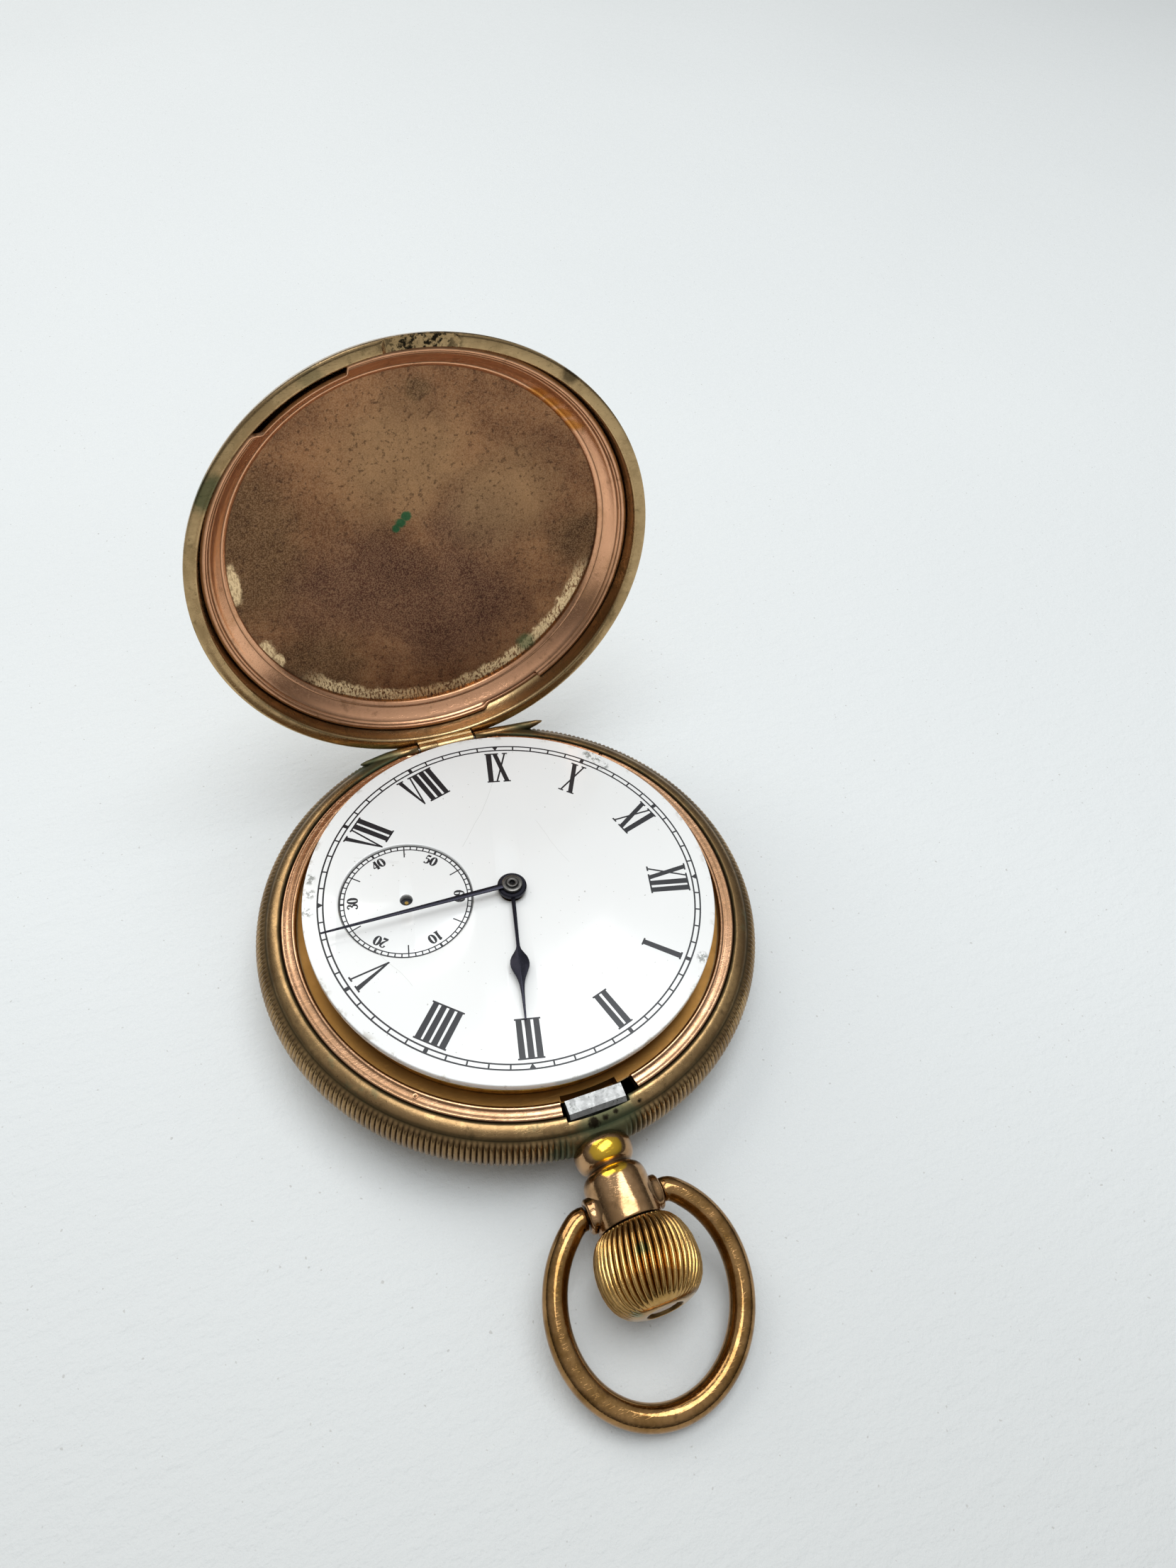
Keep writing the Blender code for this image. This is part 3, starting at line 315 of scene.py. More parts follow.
def case_tail(look, colour, roughness):
    """The case centre: an inner wall darkened to amber, partly its colour and partly painted shade of the gap
    under the dial; dark grooves, green and soot round the catch and hinge.
    """
    # Grime in the grooves and painted shade in the recesses, from the shape's own point attribute.
    colour, roughness = dirt_in(0.95)(look, colour, roughness)
    # Amber inner wall: partly its colour, partly painted shade.
    inner_wall_amber_and_shade = look.step(look.radius(), 22.45, 22.30)
    colour = look.tint(colour, inner_wall_amber_and_shade, 0.8, (0.27, 0.13, 0.03))
    edge_line = look.ring(25.62, 0.05, 0.3, 0.12, 2.0)
    groove = look.either(look.ring(24.16, 0.06, 0.22, 0.10, 1.5), look.both(edge_line, 0.7))
    colour = look.tint(colour, groove, 0.85, (0.03, 0.026, 0.012))
    green = look.blots((1.0, (25.6, 1.2, 7.9), 2.0, 2.4, 1.2, 1.0),
        (1.0, (26.2, -3.4, 6.6), 1.0, 1.6, 0.9, 0.9),
        (1.0, (22.6, 1.2, 9.0), 0.3, 0.5, 0.5, 0.6, (1, 0.12, 1)),
        (0.9, (-23.9, -8.8, 8.6), 1.9, 2.4, 1.2, 0.8), (0.6, (-23.2, 9.4, 8.4), 1.0, 2.0, 0.9, 0.8),)
    scattered = look.both(look.ring(24.7, 0.9, 0.5), look.patches(3.2, 4, 0.7, 0.60, 0.70), 0.55)
    green = look.either(green, scattered)
    colour = look.tint(colour, green, 0.8, (0.075, 0.10, 0.055))
    soot = look.blots((1.0, (25.2, -0.3, 8.7), 0.35, 0.4, 0.4, 0.5),
        (1.0, (25.1, 0.9, 8.8), 0.12, 0.3, 0.3, 0.4), (1.0, (24.95, 2.0, 8.95), 0.1, 0.25, 0.2, 0.3),
        (1.0, (24.8, 4.6, 9.0), 0.1, 0.25, 0.2, 0.3),)
    colour = look.mix(soot, colour, SOOT)
    return colour, look.plus(roughness, look.both(look.either(green, groove), 0.3), clamp=True)


def lid_at(x, y, z=13.4):
    """A place on the closed lid, measured from its hinge."""
    return (x - LID_HINGE[0], y, z - LID_HINGE[2])


def plate_at(x, y):
    return lid_at(x, y, 14.6)


def plate_tail(look, colour, roughness):
    """The inside of the lid: brown bloom, worn gold along the edge and green spots."""
    purple = look.blots((1.0, plate_at(-8.5, 3.0), 4.5, 7.0, 3.5, 5.0),
        (1.0, plate_at(-4.0, -6.5), 3.0, 6.0, 3.0, 4.0, (1, 0.7, 1)),
        (1.0, plate_at(1.0, 6.0), 2.0, 6.0, 3.0, 4.0),)
    colour = look.tint(colour, purple, 0.72, (0.075, 0.030, 0.028))
    shade = look.blots((1.0, lid_at(-2.4, 18.9), 2.0, 3.5, 1.6, 2.0),
        (1.0, lid_at(4.0, -18.5), 4.0, 4.5, 2.0, 3.0, (0.7, 1, 1)),
        (1.0, lid_at(17.5, 0.9), 0.9, 0.9, 0.6, 1.0), (1.0, lid_at(-14.0, -13.0), 3.0, 4.5, 2.0, 2.0),)
    colour = look.tint(colour, shade, 0.7, (0.075, 0.045, 0.022))
    pale = look.blots((1.0, lid_at(4.0, 9.5, 14.3), 2.5, 6.0, 2.5, 3.0),
        (1.0, lid_at(10.0, -1.0, 14.3), 3.0, 7.0, 3.0, 4.0),)
    colour = look.tint(colour, pale, 0.5, (0.50, 0.31, 0.15))
    colour = look.tint(colour, look.patches(0.16, 2, 0.6, 0.40, 0.62), 0.36, (0.62, 0.37, 0.20))
    colour = look.tint(colour, look.patches(0.5, 3, 0.7, 0.55, 0.66), 0.6, (0.06, 0.03, 0.02))

    flakes = look.patches(0.55, 5, 0.75, 0.44, 0.51, (1, 0.45, 1))
    from_middle = look.vector("SUBTRACT", {0: look.place, 1: (-LID_HINGE[0], 0, 0)})
    x, y, _ = look.parts(from_middle)
    ragged = look.wobbly(look.radius(from_middle), 0.7, 1.4)
    hinge_side = look.step(look.math("SUBTRACT", x, look.both(y, 0.25)), -9.0, -13.0)
    rim = look.both(look.step(ragged, 18.6, 19.1), hinge_side, flakes)
    spots = look.blots((1.0, lid_at(-0.4, -19.7), 0.55, 0.4, 0.45, 0.6, (0.34, 1.2, 1)),
        (1.0, lid_at(-9.2, -17.9), 0.5, 0.35, 0.4, 0.6, (0.55, 0.8, 1)),
        (1.0, lid_at(-10.7, -16.9), 0.4, 0.3, 0.35, 0.5, (0.6, 0.8, 1)),
        (1.0, lid_at(-10.8, 17.0), 0.6, 0.4, 0.5, 0.6, (0.5, 0.9, 1)),
        (1.0, lid_at(-14.6, 13.9), 0.7, 0.4, 0.5, 0.6, (0.6, 0.7, 1)),)
    gold = look.either(rim, look.both(spots, look.level(flakes, 0.45, 1.0)))
    colour = look.mix(gold, colour, (1.0, 0.74, 0.42))
    green = look.blots((1.0, lid_at(2.2, -2.2, 14.8), 0.30, 0.3, 0.25, 0.5),
        (1.0, lid_at(2.8, -1.6, 14.8), 0.40, 0.3, 0.3, 0.5),
        (1.0, lid_at(3.5, -1.0, 14.8), 0.42, 0.3, 0.3, 0.5),
        (0.55, lid_at(-15.2, 11.8), 0.6, 0.9, 0.4, 0.6),)
    crust = look.mix(look.noise(0.3, 3, 0.7), (0.04, 0.16, 0.07), (0.10, 0.36, 0.17))
    colour = look.tint(colour, green, 0.9, crust)
    roughness = look.mix(gold, roughness, (0.24, 0.24, 0.24))
    return colour, look.plus(roughness, look.both(green, 0.4), clamp=True)


def rim_at(x, y):
    """A place on the closed lid's rim, measured from its hinge."""
    return lid_at(x, y, LID_HINGE[2] + 0.8)


def lid_flange_tail(look, colour, roughness):
    green = look.blots((1.0, rim_at(12.5, -20.4), 1.2, 1.4, 0.8, 1.0),
        (0.5, rim_at(21.9, -9.5), 0.6, 1.0, 0.6, 0.8))
    colour = look.tint(colour, green, 0.75, (0.04, 0.075, 0.035))
    tip = look.both(look.near(rim_at(24.0, 0.8), 2.0, 2.8, 1.2, 1.0), look.patches(0.9, 4, 0.7, 0.46, 0.56))
    soot = look.either(tip, look.blots((0.7, rim_at(19.0, 15.2), 0.5, 0.8, 0.4, 0.6)))
    return look.mix(soot, colour, SOOT), roughness


def lid_ring_tail(look, colour, roughness):
    colour, roughness = dirt_in(0.9, (0.09, 0.05, 0.02))(look, colour, roughness)
    places = [lid_at(*polar(20.75, turn), 12.6) for turn in (39, 44, 49, 54)]
    stain = look.blots(*((1.0, place, 0.35, 0.7, 0.3, 0.8, (1, 0.6, 0.8)) for place in places))
    return look.tint(colour, stain, 0.85, (0.62, 0.24, 0.03)), roughness


def pendant_tail(look, colour, roughness):
    """A painted yellow reflection on top of the neck, and dark grime at its root."""
    colour, roughness = dirt_in(0.9)(look, colour, roughness)
    x, _, z = look.axes()
    upper = look.step(z, BAND_MID_Z + 0.9, BAND_MID_Z + 1.6)
    # Painted reflection: yellow patches along the top of the neck.
    painted_yellow_reflection = look.blots((1.0, (28.0, -0.2, 9.0), 0.9, 0.25, 0.25, 0.9, (1, 0.55, 1)),
        (1.0, (29.75, -0.3, 9.2), 0.62, 0.22, 0.2, 0.9, (1, 0.5, 1)),)
    colour = look.tint(colour, look.both(painted_yellow_reflection, upper), 0.85, (0.72, 0.44, 0.03))
    return look.tint(colour, look.step(x, 27.0, 26.4), 0.7, (0.10, 0.10, 0.05)), roughness


def crown_tail(look, colour, roughness):
    colour, roughness = dirt_in(1.0, (0.022, 0.012, 0.004))(look, colour, roughness)
    green = look.blots((1.0, (37.6, -0.9, 10.7), 0.3, 0.5, 0.3, 0.5),
        (1.0, (41.6, -2.6, 7.4), 0.3, 0.6, 0.3, 0.5))
    return look.tint(colour, green, 0.6, VERDIGRIS), roughness


def enamel():
    """White enamel with specks, a grey rim and a few chips."""
    look = Look("white_enamel")
    colour = look.mix(look.noise(9.0, 3, 0.5), (0.86, 0.862, 0.845), (0.82, 0.822, 0.80))
    colour = look.tint(colour, look.patches(0.35, 2, 0.4, 0.735, 0.77), 0.5, (0.22, 0.21, 0.17))
    stain = look.both(look.step(look.radius(), 20.9, 21.6), look.patches(1.5, 4, 0.7, 0.52, 0.66))
    colour = look.tint(colour, stain, 0.55, (0.35, 0.30, 0.22))
    places = [(*polar(reach, turn), DIAL_TOP) for reach, turn in DIAL_CHIPS]
    chips = look.blots(*((1.0, place, 0.35, 0.5, 0.3, 0.7) for place in places))
    chips = look.both(chips, look.patches(0.5, 3, 0.7, 0.46, 0.54))
    colour = look.tint(colour, chips, 0.75, (0.16, 0.17, 0.15))
    look.bump(look.noise(6.0, 2, 0.5), 0.03, 0.25)
    look.bump(look.noise(0.5, 2, 0.5), 0.003, 0.3)
    roughness = look.level(look.noise(4.0, 3, 0.6), 0.10, 0.20)
    return look.done(colour, roughness, 0.0, Coat_Weight=0.3, Coat_Roughness=0.05)


def ink(name, colour, roughness):
    look = Look(name)
    faded = tuple(c * 3 + 0.02 for c in colour)
    return look.done(look.tint(colour, look.patches(0.25, 3, 0.6, 0.62, 0.75), 0.35, faded), roughness, 0.0)


def blued():
    look = Look("blued_steel")
    colour = look.mix(look.noise(2.0, 3, 0.6), (0.010, 0.011, 0.016), (0.026, 0.024, 0.034))
    look.bump(look.noise(0.12, 2, 0.5, (6, 1, 1)), 0.004, 0.4)
    return look.done(colour, look.level(look.noise(0.5, 3, 0.6), 0.18, 0.36), 0.85)


def floor_look():
    """Pale woven board, with painted shade making it a little darker towards the bow."""
    look = Look("floor")
    colour = look.mix(look.noise(120, 2, 0.5), (0.65, 0.67, 0.668), (0.71, 0.73, 0.725))
    colour = look.tint(colour, look.patches(0.5, 1, 0.4, 0.74, 0.80), 0.5, (0.35, 0.33, 0.30))
    x, y, _ = look.axes()
    # Painted shade: darker towards the bow's side, where the light falls off.
    painted_falloff_shade = look.step(look.math("SUBTRACT", x, look.both(y, 0.35)), -10.0, 120.0)
    colour = look.tint(colour, painted_falloff_shade, 0.6, (0.42, 0.42, 0.40))
    look.bump(look.noise(0.55, 4, 0.7), 0.14, 0.75)
    look.bump(look.noise(1.4, 3, 0.6, (1, 2.5, 1), (0, 0, 35)), 0.24, 0.65)
    return look.done(colour, 0.75, 0.0)


BRASS = metal("olive_brass", (0.44, 0.285, 0.13), (0.25, 0.155, 0.07), (0.06, 0.04, 0.018), (0.20, 0.34),
    tone=0.45, tail=case_tail)
LID_BRASS = metal("lid_brass", (0.55, 0.38, 0.19), (0.40, 0.27, 0.13), (0.12, 0.085, 0.035), (0.20, 0.36),
    tail=lid_flange_tail)
OUTSIDE_BRASS = metal("cover_brass", (0.60, 0.40, 0.19), (0.46, 0.31, 0.15), (0.17, 0.11, 0.05),
    (0.16, 0.33), patch=9.0)
ROSE = metal("rose_gold", (0.66, 0.385, 0.225), (0.42, 0.235, 0.125), (0.20, 0.10, 0.045), (0.16, 0.30),
    spots=0.4, lines=0.13, tail=dirt_in(0.8, (0.07, 0.035, 0.015)))
LID_ROSE = metal("lid_rose_gold", (0.88, 0.47, 0.27), (0.72, 0.38, 0.20), (0.30, 0.15, 0.07),
    (0.20, 0.34), spots=0.4, tone=0.58, tail=lid_ring_tail)
BLOOM = metal("brown_bloom", (0.37, 0.180, 0.083), (0.20, 0.090, 0.045), (0.07, 0.032, 0.022),
    (0.40, 0.58), spots=0.85, patch=6.5, tail=plate_tail)
PENDANT_GOLD = metal("pendant_gold", (0.52, 0.315, 0.16), (0.34, 0.195, 0.09), (0.16, 0.09, 0.04),
    (0.10, 0.22), spots=0.3, patch=3.0, tail=pendant_tail)
CROWN_GOLD = metal("crown_gold", (0.60, 0.37, 0.135), (0.42, 0.245, 0.075), (0.18, 0.10, 0.03),
    (0.10, 0.22), spots=0.3, patch=3.0, tail=crown_tail)
BOW_GOLD = metal("bow_bronze", (0.40, 0.225, 0.09), (0.22, 0.115, 0.035), (0.12, 0.06, 0.025),
    (0.07, 0.15), spots=0.35, patch=4.0, tail=dirt_in(0.9))
CATCH = metal("catch_steel", (0.34, 0.34, 0.33), (0.22, 0.22, 0.215), (0.05, 0.055, 0.045), (0.34, 0.5),
    spots=1.0, patch=0.9)
STEEL = metal("dull_steel", (0.50, 0.50, 0.49), (0.38, 0.37, 0.36), (0.10, 0.09, 0.08), (0.24, 0.38),
    patch=2.0)
GILT = metal("gilt_brass", (0.62, 0.42, 0.13), (0.50, 0.33, 0.09), (0.16, 0.09, 0.02), (0.20, 0.32),
    patch=3.0)
# The movement's edge: a darker gilt, partly its own tone and partly painted shade of the gap under the dial.
GILT_EDGE_AND_SHADE = metal("gilt_edge_and_shade", (0.46, 0.28, 0.06), (0.30, 0.17, 0.035), (0.06, 0.03, 0.008), (0.26, 0.42),
    patch=2.5)
FROSTED = metal("frosted_gilt", (0.60, 0.42, 0.16), (0.52, 0.35, 0.12), (0.20, 0.13, 0.04), (0.38, 0.5),
    spots=0.3)
ENAMEL = enamel()
INK = ink("black_ink", (0.012, 0.012, 0.015), 0.30)
HAIRLINE = ink("hairline_grey", (0.56, 0.56, 0.53), 0.4)
BLUED = blued()
WORN_BOSS = metal("worn_boss", (0.17, 0.165, 0.15), (0.085, 0.08, 0.075), (0.02, 0.02, 0.02), (0.26, 0.4),
    patch=1.0, tail=dirt_in(1.0, (0.006, 0.006, 0.007)))


# ------------------------------------------------------------ shape tools


def in_scene(name, data):
    obj = bpy.data.objects.new(name, data)
    bpy.context.scene.collection.objects.link(obj)
    return obj


def weld(mesh, face_outwards):
    work = bmesh.new()
    work.from_mesh(mesh)
    bmesh.ops.remove_doubles(work, verts=work.verts, dist=1e-7)
    if face_outwards:
        bmesh.ops.recalc_face_normals(work, faces=work.faces)
    work.to_mesh(mesh)
    work.free()


def piece(name, points, faces, looks, body, replaces=(), sharp=35, grime_and_shade=None, kinds=None, at=None):
    """A named piece that rides on a body. Points are in millimetres; the darkening for grime and painted
    shade is one value or one a point.
    """
    mesh = bpy.data.meshes.new(name)
    mesh.from_pydata([tuple(c * MM for c in p) for p in points], [], faces)
    for look in looks:
        mesh.materials.append(look)
    if kinds is not None:
        mesh.polygons.foreach_set("material_index", np.array(kinds, np.int32))
    if grime_and_shade is not None:
        mesh.attributes.new("grime_and_shade", "FLOAT", "POINT").data.foreach_set("value",
            np.full(len(mesh.vertices), grime_and_shade, np.float32))
    weld(mesh, True)
    return placed(name, mesh, body, replaces, sharp, at)


def placed(name, mesh, body, replaces=(), sharp=35, at=None):
    mesh.shade_smooth()
    mesh.set_sharp_from_angle(angle=math.radians(sharp))
    obj = in_scene(name, mesh)
    if at is not None:
        obj.matrix_world = at
    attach(obj, body)
    if replaces:
        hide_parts(*replaces)
    return obj


def loft(rows, closed_rows=True, closed_path=True):
    """Faces between rows of points. Each row is a list as long as the others."""
    points = [p for row in rows for p in row]
    count, across = len(rows), len(rows[0])
    faces = []
    for i in range(count if closed_path else count - 1):
        for j in range(across if closed_rows else across - 1):
            k, m = (i + 1) % count, (j + 1) % across
            faces.append((i * across + j, i * across + m, k * across + m, k * across + j))
    return points, faces


def turned(outline_at, steps, axis="Z", centre=(0, 0, 0), closed=True):
    """A ring or disc turned about an axis. outline_at(angle) gives [(r, h, grime and painted shade)]."""
    rows, grime_and_shade = [], []
    for i in range(steps):
        a = TAU * i / steps
        row = []
        for r, h, *grime_and_shade_share in outline_at(a):
            u, v = r * math.cos(a), r * math.sin(a)
            p = {"Z": (u, v, h), "X": (h, u, v), "Y": (v, h, u)}[axis]
            row.append(tuple(c + o for c, o in zip(p, centre)))
            grime_and_shade.append(grime_and_shade_share[0] if grime_and_shade_share else 0.0)
        rows.append(row)
    points, faces = loft(rows, closed)
    return points, faces, grime_and_shade


def lathe(name, outline, steps, looks, body, replaces=(), sharp=35, axis="Z", centre=(0, 0, 0),
        closed=True):
    """A turned piece, from one outline or from a function that gives one for each angle."""
    outline_at = outline if callable(outline) else lambda a: outline
    points, faces, grime_and_shade = turned(outline_at, steps, axis, centre, closed)
    return piece(name, points, faces, looks, body, replaces, sharp, grime_and_shade)


def rounded(outline, radius, steps=3):
    """An open outline whose inner corners are rounded."""
    found = [outline[0]]
    for before, here, after in zip(outline, outline[1:], outline[2:]):
        p, q, s = (Vector(v[:2]) for v in (before, here, after))
        reach = min(radius, (p - q).length * 0.45, (s - q).length * 0.45)
        a, b = q + (p - q).normalized() * reach, q + (s - q).normalized() * reach
        for k in range(steps + 1):
            t = k / steps
            c = a * (1 - t) ** 2 + q * 2 * t * (1 - t) + b * t * t
            found.append((c.x, c.y, *here[2:]))
    found.append(outline[-1])
    return found


def flat(name, outlines, low, high, bevel=0.0, steps=2):
    """A mesh extruded from outlines in plan, holes after the first, with rounded edges."""
    curve = bpy.data.curves.new(name, "CURVE")
    curve.dimensions = "2D"
    curve.fill_mode = "BOTH"
    curve.extrude = ((high - low) / 2 - bevel) * MM
    curve.bevel_depth = bevel * MM
    curve.bevel_resolution = steps
    curve.offset = -bevel * MM
    for outline in outlines:
        spline = curve.splines.new("POLY")
        spline.use_cyclic_u = True
        spline.points.add(len(outline) - 1)
        for point, (x, y) in zip(spline.points, outline):
            point.co = (x * MM, y * MM, 0, 1)
    source = in_scene(name, curve)
    graph = bpy.context.evaluated_depsgraph_get()
    mesh = bpy.data.meshes.new_from_object(source.evaluated_get(graph))
    bpy.data.objects.remove(source, do_unlink=True)
    mesh.name = name
    mesh.transform(Matrix.Translation((0, 0, (low + high) / 2 * MM)))
    weld(mesh, False)
    return mesh


def circle(radius, steps=96, centre=(0, 0)):
    turns = [TAU * i / steps for i in range(steps)]
    return [(centre[0] + radius * math.cos(a), centre[1] + radius * math.sin(a)) for a in turns]


def angle_from(a, centre_deg):
    """How far angle a is from centre_deg, in degrees."""
    return abs((math.degrees(a) - centre_deg + 180) % 360 - 180)


def within(a, span):
    """Whether angle a is inside a span, given as its middle and half its width in degrees."""
    return angle_from(a, span[0]) < span[1]


# ------------------------------------------------------------------ case


def band_outline(a):
    """The case centre's section. The reeds fade out beside the pendant and the hinge."""
    phase = abs(math.sin(math.pi * REEDS * a / TAU))
    fade = smooth_step(angle_from(a, 0), 5.0, 8.0) * smooth_step(angle_from(a, 180), 15.0, 17.0)
    rows = []
    upper = [(2.22, 25.72, 0.0), (2.1, 26.02, 0.55), (1.85, 26.35, 0.9), (1.4, 26.62, 1.0), (0.7, 26.84, 1.0)]
    lower = [(-dz, r, share) for dz, r, share in reversed(upper)]
    for dz, r, share in [*upper, (0.0, 26.92, 1.0), *lower]:
        cut = REED_DEPTH * fade * share * (1 - phase ** 0.75)
        grime_and_shade_share = share * fade * max(0.0, 1 - phase * 1.9) ** 0.8
        rows.append((r - cut, BAND_MID_Z + dz, 0.95 * grime_and_shade_share + (0.25 if abs(dz) > 2 else 0)))
    top = [(24.12, 8.5, 0.8), (24.12, 9.1, 0.6), (24.2, 9.2, 0.3), (24.45, 9.2, 0), (24.75, 9.12, 0),
        (25.1, 8.97, 0), (25.38, 8.8, 0), (25.55, 8.64, 0.1), (25.64, 8.5, 0.75)]
    floor_z, ledge = 7.9, [(20.6, 8.4, 0.5), (21.7, 8.4, 0.5), (21.75, 8.4, 0.5), (24.1, 8.45, 0.9)]
    if within(a, CATCH_POCKET):
        top = [(max(r, 24.7), min(h, 9.08), 0.9 if r < 24.7 else d) for r, h, d in top]
        top[0] = (24.7, 7.1, 1.0)
        floor_z, ledge = 6.7, [(20.6, 8.4, 0.6), (21.75, 8.4, 0.8), (21.8, 7.0, 1.0), (24.65, 7.0, 1.0)]
    under = [(25.6, 3.8, 0.6), (25.0, 3.75, 0.3), (24.3, 3.75, 0.3), (24.3, floor_z, 0.6),
        (20.6, floor_z, 0.5)]
    found = top + rows + under + ledge
    if within(a, HINGE_CUT):
        found = [(r, min(h, HINGE_CUT_Z) if r > 24.0 else h, grime_and_shade_share) for r, h, grime_and_shade_share in found]
    return found


def build_case():
    lathe("case_body", band_outline, REEDS * REED_STEPS, [BRASS], "case", ["case_center"], 60)
    x, _, z = LID_HINGE
    for name, sign, reach in (("hinge_lug_right", 1, 12.2), ("hinge_lug_left", -1, 10.5)):
        rows = [(0.38, 3.5), (0.68, 3.5), (KNUCKLE_R, 3.58), (KNUCKLE_R, 6.2), (0.68, 7.2),
            (0.52, reach - 2.2), (0.30, reach - 0.8), (0.12, reach - 0.15), (0.0, reach)]
        skirt = []
        for r, h in rows:
            ring = []
            for k in range(24):
                a = TAU * k / 24
                dx, dz = r * math.cos(a), r * math.sin(a)
                if dz < 0:
                    dz *= 1.25
                    dx *= 1.12
                rise = 0.28 * smooth_step(h, reach - 3.0, reach)
                lift = rise if sign > 0 else -0.1 * smooth_step(h, 7, reach)
                ring.append((x + dx, sign * h, z + dz + lift))
            skirt.append(ring)
        points, faces = loft(skirt, True, False)
        piece(name, points, faces, [BRASS], "case", grime_and_shade=0.0)
    build_rear_lugs()

    def seat(a):
        nick = 1 - smooth_step(angle_from(a, 134.5), 0.3, 0.5)
        outline = [(24.05, 8.46, 0.8), (24.05, 9.06, 0.5), (23.98, 9.17), (23.86, 9.23), (23.78, 9.235),
            (23.62, 9.20), (23.50, 9.185, 0.35), (23.40, 9.19), (23.2, 9.195), (23.02, 9.18),
            (22.94, 9.15, 0.9), (22.88, 9.21), (22.76, 9.25), (22.6, 9.2), (22.5, 9.08), (22.48, 8.9),
            (22.48, 8.46, 0.8)]
        outline = [(p[0], p[1] - 0.12 * nick, *p[2:]) for p in outline]
        if within(a, CATCH_GAP):
            outline = [(p[0], 8.47, 0.9) for p in outline]
        if within(a, HINGE_GAP):
            limit = (-LID_HINGE[0] - KNUCKLE_R - KNUCKLE_GAP) / math.cos(math.radians(angle_from(a, 180)))
            outline = [(min(p[0], limit), *p[1:]) for p in outline]
        return outline

    lathe("seat_ring_fine", seat, 1440, [ROSE], "case", ["seat_ring"], 40)

    mark = [(0.0, 9.262, 1.0), (0.14, 9.262, 1.0), (0.18, 9.285, 0.2), (0.24, 9.285, 0.2), (0.27, 9.25, 0.2)]
    lathe("ring_punch_mark", mark, 24, [LID_ROSE], "case", centre=(*polar(23.25, 318.5), 0),
        closed=False)


def build_rear_lugs():
    """Short lugs for the rear and dust hinges, under the band."""
    band_low = 4.2
    lugs = (("rear_lug", -25.1, 2.95, 0.7, 3.1, 6.4), ("dust_lug", -23.0, 3.4, 0.5, 2.6, 4.4))
    for name, x, z, r, near, far in lugs:
        outline = [(0.36, near), (r - 0.06, near), (r, near + 0.06), (r, far - 0.06), (r - 0.06, far),
            (0.02, far)]
        for side, sign in (("right", 1), ("left", -1)):
            rows = []
            for rr, h in outline:
                ring = []
                for k in range(24):
                    a = TAU * k / 24
                    dx, dz = rr * math.cos(a), rr * math.sin(a)
                    if dz > 0 and rr > 0.4:
                        dz += (band_low - z) * 0.62 * (dz / rr)
                    ring.append((x + dx, sign * h, z + dz))
                rows.append(ring)
            points, faces = loft(rows, True, False)
            piece(f"{name}_{side}", points, faces, [BRASS], "case", grime_and_shade=0.3)


# ------------------------------------------------------------------ lids


def opened():
    return Matrix.Translation(Vector(LID_HINGE) * MM) @ Matrix.Rotation(-math.radians(LID_OPEN_DEG), 4, "Y")


def from_hinge(points):
    return [tuple(c - h for c, h in zip(p, LID_HINGE)) for p in points]


